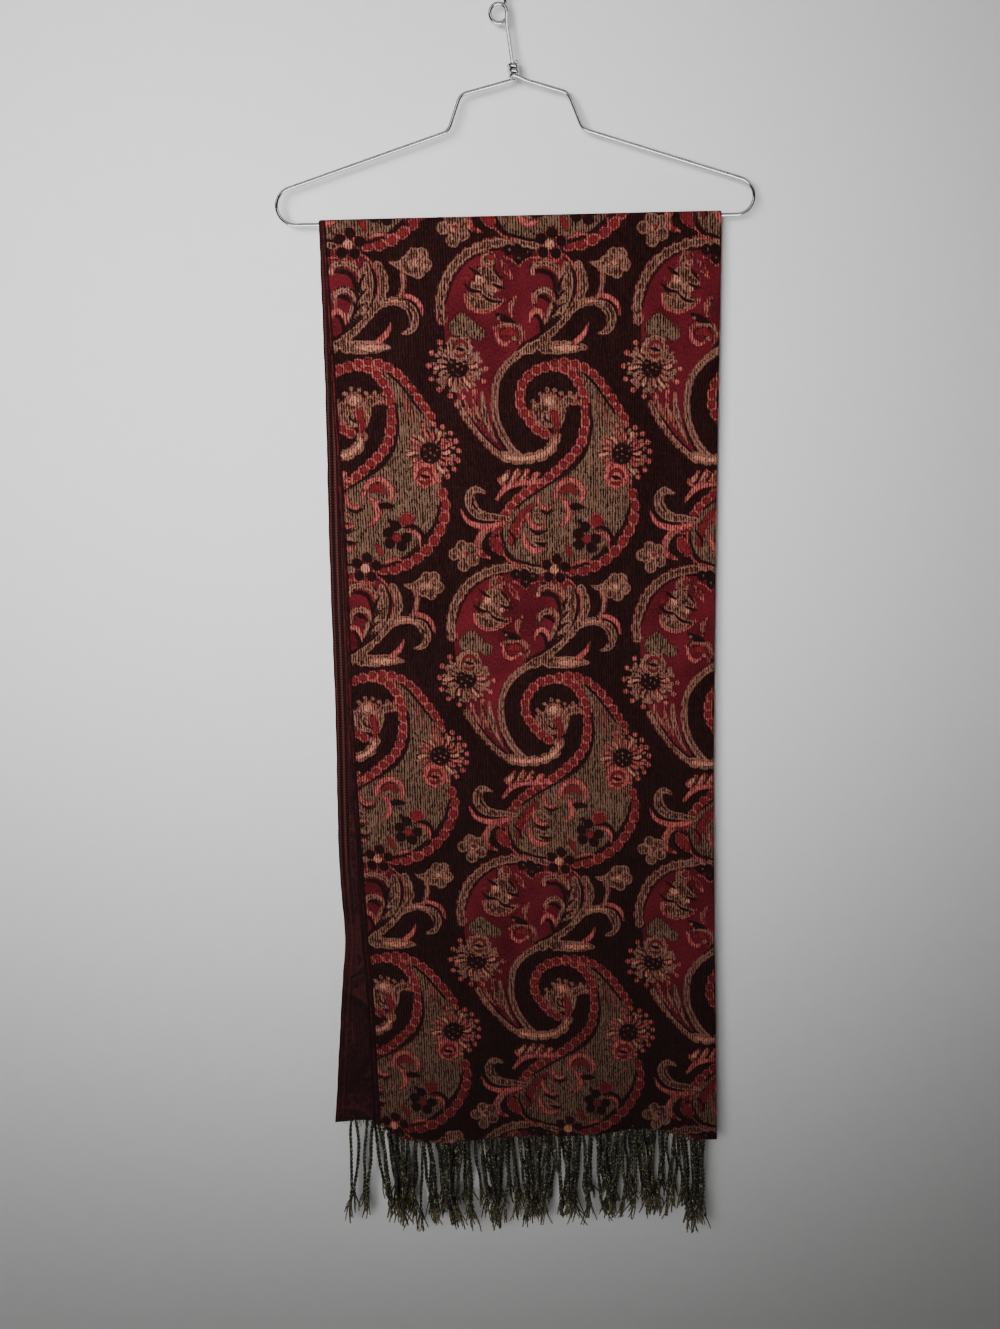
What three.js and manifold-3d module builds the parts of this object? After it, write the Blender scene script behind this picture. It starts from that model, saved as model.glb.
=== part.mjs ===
// A pashmina scarf, folded in half lengthwise and hung over the bar of a wire hanger.
//
// Millimetres, +Z up, +X to the right of someone facing the scarf, whose front faces -Y.
// The origin is the hook's seat: the inner top of the hook, where a rail bears on it.
//
// The scarf is one wall with a U section: an outer leaf, a fold down the right-hand side and
// an inner leaf. That section runs up the front, over the bar and down the back. Each stretch
// of it is a mesh of its own, and so is each row of fringe.

import * as THREE from 'three';
import { mergeVertices } from 'three/addons/utils/BufferGeometryUtils.js';
import Module from 'manifold-3d';

const wasm = await Module();
wasm.setup();

// ---- driving dimensions ---------------------------------------------------------------------

const GAP = 0.3; // between neighbouring pieces

// Hanger.
const WIRE_RADIUS = 1.6;
const WIRE_SIDES = 8;
const BAR_BELOW_SEAT = 232; // hook seat to the centre of the bar
const BAR_Z = -BAR_BELOW_SEAT;
const HOOK_RADIUS = 20 + WIRE_RADIUS; // to the wire's centre, 20 mm inside
const HOOK_CENTRE_Z = -20;
const SHOULDER_BEND = 5;
const END_BEND = 15.4; // centre-line radius of the bend at each end of the bar
const END_BEND_X = 194.8;
const BAR_END = END_BEND_X - 1; // where each arm's straight foot meets the bar
const SHOULDER_TOP = { x: 46.8, above: 103.2 }; // above the bar's centre
const SHOULDER_FOOT = { x: 58.5, above: 73.7 };
const RING_RADIUS = 7.4;
const RING_CENTRE = { x: -11.4, above: 168.2 };
const RING_RISE = 3.9; // how far back the loop passes behind itself
const SHANK_LEAN = -0.117; // sideways per unit of height
const SHANK_X_AT_WRAPS = 0.37;
const ELBOW_TOP = 118.2; // where the left arm's elbow meets the shank, inside the wraps
const WRAP_FOOT = 116.6; // height of the lowest wrap above the bar, at the front
const WRAP_PITCH = 4.1;
const WRAP_TURNS = 2.9;
const WRAP_RADIUS = 2 * WIRE_RADIUS + GAP + 0.05;

// Cloth.
const WALL = 1;
const LAYER_HALF = (WALL + GAP) / 2; // from the middle of the fold to the middle of a leaf
const TURN_RADIUS = WIRE_RADIUS + GAP + WALL + GAP / 2; // bar's centre to the middle of the fold
const LIP = 4; // how far the fold's wall runs on behind the outer leaf
const NOMINAL_DROP = 880;
const LEAF_COLUMNS = 13; // as far as the seam behind the fold
const STRIP_COLUMNS = 2; // of the inner leaf, where it shows beyond the outer one
const LEAF_ROWS = 20;
const FOLD_STEPS = 3;
const TURN_STEPS = 6;

// Where the edges of the leaves lie, by the drop below the bar.
const FRONT_EDGES = [
  { drop: 0, fold: 180.5, outer: -173.0, inner: -174.4 },
  { drop: 150, fold: 176.8, outer: -171.8, inner: -178.0 },
  { drop: 300, fold: 173.4, outer: -171.8, inner: -183.4 },
  { drop: 450, fold: 170.7, outer: -174.6, inner: -187.2 },
  { drop: 600, fold: 169.7, outer: -175.9, inner: -192.7 },
  { drop: 685, fold: 169.8, outer: -175.9, inner: -192.0 },
  { drop: 720, fold: 170.1, outer: -174.7, inner: -196.3 },
  { drop: 880, fold: 170.5, outer: -175.2, inner: -213.0 },
];
const BACK_EDGES = [
  { drop: 0, fold: 180.5, outer: -173.0, inner: -174.4 },
  { drop: 300, fold: 172.6, outer: -171.0, inner: -177.0 },
  { drop: 600, fold: 168.9, outer: -172.5, inner: -183.5 },
  { drop: 880, fold: 169.6, outer: -173.5, inner: -190.0 },
];

// Drop of each hem below the bar, by x. Selvedges are tighter, so the left corners ride up.
const FRONT_HEM = [
  { x: -213, outer: 851, inner: 847 },
  { x: -175, outer: 852, inner: 850 },
  { x: -155, outer: 866, inner: 860 },
  { x: -130, outer: 873, inner: 867 },
  { x: -85, outer: 876.5, inner: 871 },
  { x: 50, outer: 878, inner: 873 },
  { x: 105, outer: 879.5, inner: 875 },
  { x: 135, outer: 887, inner: 882 },
  { x: 180, outer: 892.5, inner: 888 },
];
const BACK_HEM = [
  { x: -200, outer: 843, inner: 840 },
  { x: -165, outer: 853, inner: 849 },
  { x: -120, outer: 864, inner: 860 },
  { x: 100, outer: 868, inner: 864 },
  { x: 180, outer: 880, inner: 877 },
];

// Soft folds of the hanging cloth: how far each comes forward at the hem (negative goes back),
// its half width, where its middle lies at the hem, how it leans and where it starts.
const DRAPE_FOLDS = [
  { at: -178, halfWidth: 26, forward: -3.4, lean: 0.01, starts: 260 },
  { at: -112, halfWidth: 34, forward: 3.6, lean: -0.03, starts: 120 },
  { at: -38, halfWidth: 36, forward: -2.8, lean: 0.02, starts: 200 },
  { at: 34, halfWidth: 38, forward: 3.2, lean: 0.04, starts: 60 },
  { at: 98, halfWidth: 30, forward: -3.0, lean: 0.03, starts: 150 },
  { at: 158, halfWidth: 28, forward: 5.0, lean: -0.02, starts: 90 },
];

// Fringe.
const STRANDS = 34; // in each row
const STRAND_RADIUS = 0.95;
const ROOT_RADIUS = 0.55;
const STRAND_SIDES = 3;
const STRAND_STEPS = 4;
const ROOT_SET_BACK = 0.2; // of the inner rows' roots, clear of the outer leaf
const STRIP_HEIGHT = 2;
const STRAND_INSET = 4; // from a leaf's edge to its first strand
const BUNCHES = [
  { pull: 3.1, every: 44 },
  { pull: 1.1, every: 21 },
];
const FRINGE_ROWS = {
  // spread: how far the row's tips stand forward of its hem; phase sets one row apart from the next
  front_outer: { spread: 2.8, phase: 0.4, shift: 0.25, length: 94 },
  front_inner: { spread: 0.3, phase: 2.3, shift: 0.75, length: 98 },
  back_inner: { spread: -0.2, phase: 4.1, shift: 0.25, length: 97 },
  back_outer: { spread: -2.4, phase: 5.5, shift: 0.75, length: 96 },
};
// Ends of the cloth's corners hang longer.
const LONG_ENDS = [
  { x: -200, extra: 12, halfWidth: 22 },
  { x: 142, extra: 15, halfWidth: 12 },
];

// ---- materials ------------------------------------------------------------------------------

const chrome = new THREE.MeshStandardMaterial({ color: 0xb9bcc0, metalness: 1, roughness: 0.22 });
const face = new THREE.MeshStandardMaterial({ color: 0x55201f, metalness: 0, roughness: 0.85 });
const reverse = new THREE.MeshStandardMaterial({ color: 0x3a1a1c, metalness: 0, roughness: 0.88 });
const cord = new THREE.MeshStandardMaterial({ color: 0x3d3a2c, metalness: 0, roughness: 0.8 });

// ---- shared helpers -------------------------------------------------------------------------

const scarf = new THREE.Group();
const hanger = new THREE.Group();

function addPiece(group, name, geometry, material) {
  const mesh = new THREE.Mesh(geometry, material);
  mesh.name = name;
  group.add(mesh);
}

// One column of a table at a place on its key column, by a smooth curve through the rows.
function along(table, key, column, at) {
  const last = table.length - 1;
  const place = THREE.MathUtils.clamp(at, table[0][key], table[last][key]);
  let row = 0;
  while (row < last - 1 && place > table[row + 1][key]) row += 1;
  const slope = (k) => {
    const before = table[Math.max(k - 1, 0)];
    const after = table[Math.min(k + 1, last)];
    return (after[column] - before[column]) / (after[key] - before[key]);
  };
  const span = table[row + 1][key] - table[row][key];
  const t = (place - table[row][key]) / span;
  const fromStart = 1 - t * t * (3 - 2 * t);
  return (
    fromStart * table[row][column] +
    (1 - fromStart) * table[row + 1][column] +
    t * (1 - t) * span * ((1 - t) * slope(row) - t * slope(row + 1))
  );
}

// A geometry from numbered points and triangles, without doubled vertices.
function geometryOf(points, triangles) {
  const geometry = new THREE.BufferGeometry();
  geometry.setAttribute(
    'position',
    new THREE.Float32BufferAttribute(points.flatMap((p) => [p.x, p.y, p.z]), 3),
  );
  geometry.setIndex(triangles.flat());
  return geometry;
}

// A closed tube: a ring of points round each centre, carried along without spin, and two caps.
function tube(centres, radius, sides, firstRadius = radius) {
  const points = [];
  const triangles = [];
  const tangentAt = (i) => {
    const before = centres[Math.max(i - 1, 0)];
    const after = centres[Math.min(i + 1, centres.length - 1)];
    return after.clone().sub(before).normalize();
  };
  const normal = new THREE.Vector3(0, -1, 0.01);
  centres.forEach((centre, i) => {
    const tangent = tangentAt(i);
    normal.addScaledVector(tangent, -normal.dot(tangent)).normalize();
    const side = tangent.clone().cross(normal);
    for (let k = 0; k < sides; k += 1) {
      const angle = (2 * Math.PI * k) / sides;
      const out = normal.clone().multiplyScalar(Math.cos(angle));
      out.addScaledVector(side, Math.sin(angle));
      points.push(centre.clone().addScaledVector(out, i === 0 ? firstRadius : radius));
    }
  });
  for (let i = 0; i < centres.length - 1; i += 1) {
    for (let k = 0; k < sides; k += 1) {
      const a = i * sides + k;
      const b = i * sides + ((k + 1) % sides);
      triangles.push([a, b, b + sides], [a, b + sides, a + sides]);
    }
  }
  const end = (centres.length - 1) * sides;
  for (let k = 1; k < sides - 1; k += 1) {
    triangles.push([0, k + 1, k], [end, end + k, end + k + 1]);
  }
  return geometryOf(points, triangles);
}

// A closed wall between two matching grids of points; outside lies on the side it faces.
function wall(outside, inside) {
  const rows = outside.length;
  const columns = outside[0].length;
  const points = [...outside.flat(), ...inside.flat()];
  const triangles = [];
  const out = (r, c) => r * columns + c;
  const inn = (r, c) => rows * columns + r * columns + c;
  const quad = (a, b, c, d) => triangles.push([a, b, c], [a, c, d]);
  for (let r = 0; r < rows - 1; r += 1) {
    for (let c = 0; c < columns - 1; c += 1) {
      quad(out(r, c), out(r + 1, c), out(r + 1, c + 1), out(r, c + 1));
      quad(inn(r, c), inn(r, c + 1), inn(r + 1, c + 1), inn(r + 1, c));
    }
    quad(out(r, 0), inn(r, 0), inn(r + 1, 0), out(r + 1, 0));
    quad(out(r, columns - 1), out(r + 1, columns - 1), inn(r + 1, columns - 1), inn(r, columns - 1));
  }
  for (let c = 0; c < columns - 1; c += 1) {
    quad(out(0, c), out(0, c + 1), inn(0, c + 1), inn(0, c));
    quad(out(rows - 1, c), inn(rows - 1, c), inn(rows - 1, c + 1), out(rows - 1, c + 1));
  }
  return geometryOf(points, triangles);
}

// ---- hanger ---------------------------------------------------------------------------------

const wirePoint = (x, y, above) => new THREE.Vector3(x, y, BAR_Z + above);

// Points round an arc in the hanger's plane, from one angle to another, in degrees.
function arc(centreX, centreAbove, radius, from, to, steps) {
  return Array.from({ length: steps + 1 }, (_, i) => {
    const angle = THREE.MathUtils.degToRad(from + ((to - from) * i) / steps);
    return wirePoint(centreX + radius * Math.cos(angle), 0, centreAbove + radius * Math.sin(angle));
  });
}

// A corner of the wire, rounded: four points on the curve from one leg to the other.
function bend(before, corner, after, reach) {
  const start = corner.clone().addScaledVector(before.clone().sub(corner).normalize(), reach);
  const end = corner.clone().addScaledVector(after.clone().sub(corner).normalize(), reach);
  return new THREE.QuadraticBezierCurve3(start, corner, end).getPoints(3);
}

const hookAbove = HOOK_CENTRE_Z - BAR_Z;
const shankX = (above) => SHANK_X_AT_WRAPS + SHANK_LEAN * (above - WRAP_FOOT);

function buildHook() {
  const stem = new THREE.CatmullRomCurve3([
    wirePoint(RING_CENTRE.x + RING_RADIUS, RING_RISE, RING_CENTRE.above + 1),
    wirePoint(-4.3, RING_RISE, 173),
    wirePoint(-5.2, 3.3, 179),
    wirePoint(-4.4, 1.6, 185),
    wirePoint(-0.4, 0.4, 189.8),
    wirePoint(6.5, 0, 192.4),
  ]).getPoints(10);
  return tube([...stem, ...arc(0, hookAbove, HOOK_RADIUS, -52, 200, 22)], WIRE_RADIUS, WIRE_SIDES);
}

// One full turn to the left that passes behind itself.
function buildRing() {
  const loop = arc(RING_CENTRE.x, RING_CENTRE.above, RING_RADIUS, 5, 357, 24);
  loop.forEach((point, i) => point.setY((RING_RISE * i) / 24));
  return tube(loop, WIRE_RADIUS, WIRE_SIDES);
}

function buildShank() {
  const foot = ELBOW_TOP + 2 * GAP;
  const top = RING_CENTRE.above - 9;
  const neck = new THREE.CatmullRomCurve3([
    wirePoint(shankX(foot), 0, foot),
    wirePoint(shankX(foot + 20), 0, foot + 20),
    wirePoint(shankX(top), 0, top),
    wirePoint(RING_CENTRE.x + RING_RADIUS, 0, RING_CENTRE.above - GAP),
  ]);
  return tube(neck.getPoints(9), WIRE_RADIUS, WIRE_SIDES);
}

// The right arm's end, wound up round the shank.
function buildWraps() {
  const steps = 42;
  const coil = Array.from({ length: steps + 1 }, (_, i) => {
    const turn = (WRAP_TURNS * i) / steps;
    const angle = -Math.PI / 2 - 2 * Math.PI * turn;
    const above = WRAP_FOOT + WRAP_PITCH * turn;
    return wirePoint(
      shankX(above) + WRAP_RADIUS * Math.cos(angle),
      WRAP_RADIUS * Math.sin(angle),
      above,
    );
  });
  return tube(coil, WIRE_RADIUS, WIRE_SIDES);
}

// An arm from the neck to the end of the bar; side is -1 for the left and +1 for the right.
function buildArm(side, neckPoints) {
  const neck = neckPoints[neckPoints.length - 1];
  const top = wirePoint(side * SHOULDER_TOP.x, 0, SHOULDER_TOP.above);
  const foot = wirePoint(side * SHOULDER_FOOT.x, 0, SHOULDER_FOOT.above);
  const slope = 73;
  const end = side > 0
    ? arc(END_BEND_X, END_BEND, END_BEND, slope, -90, 10)
    : arc(-END_BEND_X, END_BEND, END_BEND, 180 - slope, 270, 10);
  const centres = [
    ...neckPoints,
    ...bend(neck, top, foot, SHOULDER_BEND),
    ...bend(top, foot, end[0], SHOULDER_BEND),
    ...end,
    wirePoint(side * BAR_END, 0, 0),
  ];
  return tube(centres, WIRE_RADIUS, WIRE_SIDES);
}

function buildLeftArm() {
  const x = shankX(ELBOW_TOP);
  const elbow = new THREE.QuadraticBezierCurve3(
    wirePoint(x + 0.1, 0, ELBOW_TOP - 0.9),
    wirePoint(x + 0.3, 0, 114.4),
    wirePoint(-3.6, 0, 113.6),
  ).getPoints(4);
  return buildArm(-1, [wirePoint(x, 0, ELBOW_TOP), ...elbow, wirePoint(-7, 0, 112.8)]);
}

function buildRightArm() {
  const start = wirePoint(shankX(WRAP_FOOT) + 3 * GAP, -WRAP_RADIUS, WRAP_FOOT - 0.1);
  const level = start.clone().add(new THREE.Vector3(1.8, 0.15, -0.3));
  return buildArm(1, [start, level, wirePoint(6, -2.4, 114.9), wirePoint(11, -0.8, 113.4)]);
}

function buildBar() {
  const half = BAR_END - GAP;
  return tube([wirePoint(-half, 0, 0), wirePoint(half, 0, 0)], WIRE_RADIUS, WIRE_SIDES);
}

addPiece(hanger, 'hanger_hook', buildHook(), chrome);
addPiece(hanger, 'hanger_ring', buildRing(), chrome);
addPiece(hanger, 'hanger_shank', buildShank(), chrome);
addPiece(hanger, 'hanger_wraps', buildWraps(), chrome);
addPiece(hanger, 'hanger_left_arm', buildLeftArm(), chrome);
addPiece(hanger, 'hanger_right_arm', buildRightArm(), chrome);
addPiece(hanger, 'hanger_bar', buildBar(), chrome);

// ---- scarf ----------------------------------------------------------------------------------

const SIDES = {
  front: { facing: -1, edges: FRONT_EDGES, hem: FRONT_HEM },
  back: { facing: 1, edges: BACK_EDGES, hem: BACK_HEM },
};

// How far the cloth comes forward at x and a drop, from the soft folds together.
function drape(x, drop) {
  return DRAPE_FOLDS.reduce((sum, fold) => {
    const grown = THREE.MathUtils.smoothstep(drop, fold.starts, NOMINAL_DROP + 100);
    const across = (x - fold.at - fold.lean * (NOMINAL_DROP - drop)) / fold.halfWidth;
    return sum + fold.forward * grown * Math.exp(-across * across);
  }, 0);
}

// A point of a hanging leaf: x across, drop below the bar and depth off the middle of the fold.
function hanging(side, x, drop, depth) {
  const y = side.facing * (TURN_RADIUS + depth) - drape(x, drop);
  return new THREE.Vector3(x, y, BAR_Z - drop);
}

// Where the seam behind the fold lies: the outer leaf's lip ends on it and the inner leaf starts.
const seamX = (edges) => edges.fold - LAYER_HALF - LIP - GAP;

// The x of each column of a leaf's flat stretch, left to right. Both layers share the columns
// from the outer leaf's left edge to the seam, so that they lie evenly on each other.
function columnsOf(layer, edges) {
  const shared = Array.from({ length: LEAF_COLUMNS + 1 }, (_, i) =>
    THREE.MathUtils.lerp(edges.outer, seamX(edges), i / LEAF_COLUMNS),
  );
  if (layer === 'outer') return shared;
  const strip = Array.from({ length: STRIP_COLUMNS }, (_, i) =>
    THREE.MathUtils.lerp(edges.inner, edges.outer, i / STRIP_COLUMNS),
  );
  return [...strip, ...shared];
}

// A leaf's section at one height: x and depth of each station of a face that lies `offset` off
// the wall's middle. The outer leaf goes on round the fold and a lip's length behind itself.
function sectionOf(layer, edges, offset) {
  const sign = layer === 'outer' ? 1 : -1;
  const flat = columnsOf(layer, edges).map((x) => ({ x, depth: sign * LAYER_HALF + offset }));
  if (layer === 'inner') return flat;
  const hinge = edges.fold - LAYER_HALF;
  const radius = LAYER_HALF + offset;
  const fold = Array.from({ length: FOLD_STEPS + 1 }, (_, i) => {
    const angle = Math.PI / 2 - (Math.PI * i) / FOLD_STEPS;
    return { x: hinge + radius * Math.cos(angle), depth: radius * Math.sin(angle) };
  });
  return [...flat, ...fold, { x: hinge - LIP, depth: -radius }];
}

function edgesAt(side, drop) {
  const column = (name) => along(side.edges, 'drop', name, drop);
  return { fold: column('fold'), outer: column('outer'), inner: column('inner') };
}

// A hanging leaf, from just under the bar to its hem.
function buildLeaf(sideName, layer) {
  const side = SIDES[sideName];
  const faceGrid = (offset) =>
    Array.from({ length: LEAF_ROWS + 1 }, (_, r) => {
      const part = r / LEAF_ROWS;
      const hemOf = r < LEAF_ROWS ? 'outer' : layer; // the rows above the hem are shared too
      return sectionOf(layer, edgesAt(side, part * NOMINAL_DROP), offset).map(({ x, depth }) => {
        const drop = THREE.MathUtils.lerp(GAP, along(side.hem, 'x', hemOf, x), part);
        return hanging(side, x, drop, depth);
      });
    });
  return facedWall(side, faceGrid);
}

// A wall from the two face grids that lie half its thickness off its middle.
function facedWall(side, faceGrid) {
  const away = faceGrid(WALL / 2);
  const near = faceGrid(-WALL / 2);
  return side.facing < 0 ? wall(away, near) : wall(near, away);
}

// The same section, turned over the bar from the front leaf to the back one.
function buildTurn(layer) {
  const edges = edgesAt(SIDES.front, 0);
  const faceGrid = (offset) =>
    Array.from({ length: TURN_STEPS + 1 }, (_, r) => {
      const angle = Math.PI - (Math.PI * r) / TURN_STEPS;
      return sectionOf(layer, edges, offset).map(({ x, depth }) => {
        const radius = TURN_RADIUS + depth;
        return new THREE.Vector3(x, radius * Math.cos(angle), BAR_Z + radius * Math.sin(angle));
      });
    });
  return wall(faceGrid(-WALL / 2), faceGrid(WALL / 2));
}

addPiece(scarf, 'front_outer_leaf', buildLeaf('front', 'outer'), face);
addPiece(scarf, 'front_inner_leaf', buildLeaf('front', 'inner'), reverse);
addPiece(scarf, 'bar_turn_outer', buildTurn('outer'), face);
addPiece(scarf, 'bar_turn_inner', buildTurn('inner'), reverse);
addPiece(scarf, 'back_outer_leaf', buildLeaf('back', 'outer'), face);
addPiece(scarf, 'back_inner_leaf', buildLeaf('back', 'inner'), reverse);

// ---- fringe ---------------------------------------------------------------------------------

function solidOf(geometry) {
  const merged = mergeVertices(geometry);
  return new wasm.Manifold(
    new wasm.Mesh({
      numProp: 3,
      vertProperties: merged.attributes.position.array,
      triVerts: new Uint32Array(merged.index.array),
    }),
  );
}

function geometryOfSolid(solid) {
  const mesh = solid.getMesh();
  const geometry = new THREE.BufferGeometry();
  geometry.setAttribute('position', new THREE.Float32BufferAttribute(mesh.vertProperties, 3));
  geometry.setIndex(Array.from(mesh.triVerts));
  return geometry;
}

// A point on a run of points, at an x between its ends.
function onRun(run, x) {
  const next = run.findIndex((point, i) => i > 0 && point.x >= x);
  const t = (x - run[next - 1].x) / (run[next].x - run[next - 1].x);
  return run[next - 1].clone().lerp(run[next], t);
}

// The centre line of one strand, from its root down to its tip.
function strandCentres(root, row) {
  const tipPull = BUNCHES.reduce(
    (sum, bunch) => sum + bunch.pull * Math.sin((2 * Math.PI * root.x) / bunch.every + row.phase),
    0,
  );
  const uneven = 5 * Math.sin(root.x / 3.1 + row.phase) + 3 * Math.sin(root.x / 1.7 + 2 * row.phase);
  const extra = LONG_ENDS.reduce((sum, end) => {
    const across = (root.x - end.x) / end.halfWidth;
    return sum + end.extra * Math.exp(-across * across);
  }, 0);
  const length = row.length + uneven + extra;
  return Array.from({ length: STRAND_STEPS + 1 }, (_, i) => {
    const t = i / STRAND_STEPS;
    const sway = 1.3 * Math.sin(2 * Math.PI * t + root.x / 23 + row.phase);
    return new THREE.Vector3(
      root.x + tipPull * t ** 1.4 + sway * t,
      root.y - row.spread * (1 - (1 - t) ** 4),
      root.z - length * t,
    );
  });
}

// A row of fringe: a strip just under the hem, with the strands' roots fused into it.
function buildFringe(sideName, layer) {
  const side = SIDES[sideName];
  const row = FRINGE_ROWS[`${sideName}_${layer}`];
  const middle = layer === 'outer' ? LAYER_HALF : -LAYER_HALF;
  const columns = columnsOf(layer, edgesAt(side, NOMINAL_DROP));
  const runBelowHem = (below, offset) =>
    columns.map((x) => hanging(side, x, along(side.hem, 'x', layer, x) + below, middle + offset));
  const strip = facedWall(side, (offset) => [
    runBelowHem(GAP, offset),
    runBelowHem(GAP + STRIP_HEIGHT, offset),
  ]);
  const rootRun = runBelowHem(GAP + STRIP_HEIGHT / 2, layer === 'outer' ? 0 : -ROOT_SET_BACK);
  const first = columns[0] + STRAND_INSET;
  const last = columns[columns.length - 1] - STRAND_INSET;
  let fringe = solidOf(strip);
  for (let i = 0; i < STRANDS; i += 1) {
    const root = onRun(rootRun, THREE.MathUtils.lerp(first, last, (i + row.shift) / STRANDS));
    const strand = tube(strandCentres(root, row), STRAND_RADIUS, STRAND_SIDES, ROOT_RADIUS);
    fringe = fringe.add(solidOf(strand));
  }
  return geometryOfSolid(fringe);
}

for (const sideName of ['front', 'back']) {
  for (const layer of ['outer', 'inner']) {
    addPiece(scarf, `${sideName}_${layer}_fringe`, buildFringe(sideName, layer), cord);
  }
}

const model = new THREE.Group();
model.add(hanger, scarf);

export default model;
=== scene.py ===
"""Looks for a woven paisley scarf, folded lengthwise and hung over the bar of a wire hanger.

Sizes are in millimetres in the tables and classes; meshes are scaled to metres as they are made.
"""
import logging
from dataclasses import dataclass, field
from enum import Enum, IntEnum

import bpy
import numpy as np
from mathutils import Matrix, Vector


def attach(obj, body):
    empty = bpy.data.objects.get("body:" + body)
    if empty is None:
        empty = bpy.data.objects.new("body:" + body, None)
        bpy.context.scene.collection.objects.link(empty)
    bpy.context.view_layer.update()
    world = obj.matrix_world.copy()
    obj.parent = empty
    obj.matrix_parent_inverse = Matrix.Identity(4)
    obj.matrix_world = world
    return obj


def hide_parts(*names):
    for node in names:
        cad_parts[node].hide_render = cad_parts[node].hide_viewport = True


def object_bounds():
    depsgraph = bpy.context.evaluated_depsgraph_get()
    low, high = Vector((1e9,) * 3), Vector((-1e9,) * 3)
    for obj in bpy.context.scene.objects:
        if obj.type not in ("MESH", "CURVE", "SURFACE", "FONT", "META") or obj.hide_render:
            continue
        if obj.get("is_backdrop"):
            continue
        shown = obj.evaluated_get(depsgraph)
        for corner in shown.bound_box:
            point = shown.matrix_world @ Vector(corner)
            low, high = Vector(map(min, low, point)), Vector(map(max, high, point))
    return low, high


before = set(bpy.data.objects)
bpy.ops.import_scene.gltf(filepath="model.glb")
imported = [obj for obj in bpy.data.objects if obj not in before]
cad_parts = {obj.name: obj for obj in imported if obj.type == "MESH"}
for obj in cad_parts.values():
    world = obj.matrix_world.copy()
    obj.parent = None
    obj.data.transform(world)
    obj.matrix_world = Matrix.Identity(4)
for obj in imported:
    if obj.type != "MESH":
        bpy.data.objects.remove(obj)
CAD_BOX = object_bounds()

LOG = logging.getLogger("scarf")
MM = 0.001
FULL_TURN = 2 * np.pi
TINY = 1e-9

# ---- tables shared with the solids ----------------------------------------------------------

BAR_Z = -232.0
WALL = 1.0
GAP = 0.3
WIRE_RADIUS = 1.6
LAYER_HALF = (WALL + GAP) / 2
TURN_RADIUS = WIRE_RADIUS + GAP + WALL + GAP / 2
LIP = 4.0  # of the fold, behind the outer leaf
NOMINAL_DROP = 880.0
EDGE_X = -173.0  # of the outer leaf where it leaves the bar
FLAT_WIDTH = 353.5  # of the folded cloth, from its edge to its fold

# Columns: the drop, then x of the fold, of the outer leaf's edge and of the inner leaf's edge.
FRONT_EDGES = np.array([
    (0, 180.5, -173.0, -174.4),
    (150, 176.8, -171.8, -178.0),
    (300, 173.4, -171.8, -183.4),
    (450, 170.7, -174.6, -187.2),
    (600, 169.7, -175.9, -192.7),
    (685, 169.8, -175.9, -192.0),
    (720, 170.1, -174.7, -196.3),
    (880, 170.5, -175.2, -213.0),
])
BACK_EDGES = np.array([
    (0, 180.5, -173.0, -174.4),
    (300, 172.6, -171.0, -177.0),
    (600, 168.9, -172.5, -183.5),
    (880, 169.6, -173.5, -190.0),
])
# Columns: x, then the drop of the outer and of the inner leaf's hem.
FRONT_HEM = np.array([
    (-213, 851, 847),
    (-175, 852, 850),
    (-155, 866, 860),
    (-130, 873, 867),
    (-85, 876.5, 871),
    (50, 878, 873),
    (105, 879.5, 875),
    (135, 887, 882),
    (180, 892.5, 888),
])
BACK_HEM = np.array([
    (-200, 843, 840),
    (-165, 853, 849),
    (-120, 864, 860),
    (100, 868, 864),
    (180, 880, 877),
])
# Soft folds: x at the hem, half width, how far forward, lean and the drop where each starts.
DRAPE_FOLDS = np.array([
    (-178, 26, -3.4, 0.01, 260),
    (-112, 34, 3.6, -0.03, 120),
    (-38, 36, -2.8, 0.02, 200),
    (34, 38, 3.2, 0.04, 60),
    (98, 30, -3.0, 0.03, 150),
    (158, 28, 5.0, -0.02, 90),
])
# Creases of the hanging cloth: x, top, bottom, half width, depth (positive stands forward), lean.
CREASES = np.array([
    (-151, 30, 420, 7, 0.7, 0.010),
    (-128, 300, 860, 9, -0.9, -0.020),
    (-92, 10, 260, 8, -0.6, 0.030),
    (-61, 420, 870, 11, 0.9, 0.015),
    (-17, 60, 520, 10, -0.7, -0.012),
    (12, 520, 880, 8, -0.9, 0.024),
    (63, 20, 330, 9, 0.8, -0.018),
    (79, 480, 880, 12, 1.0, 0.020),
    (124, 140, 700, 9, -1.0, 0.012),
    (147, 20, 380, 7, 0.8, -0.014),
    (140, 600, 890, 8, -0.8, 0.030),
])
CREASE_ENDS = 90.0  # over which a crease fades at each end
# How the weave hangs: the drop, then how steeply the weft runs downhill to the right, how far a row
# of the pattern is lifted in the middle and how far the warp is drawn in at the left edge.
WEFT = np.array([
    (0, 0.020, 0.0, 1.0),
    (305, 0.047, -2.2, 3.0),
    (588, 0.072, 0.4, 3.3),
    (868, 0.083, 4.0, 3.6),
])


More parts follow.
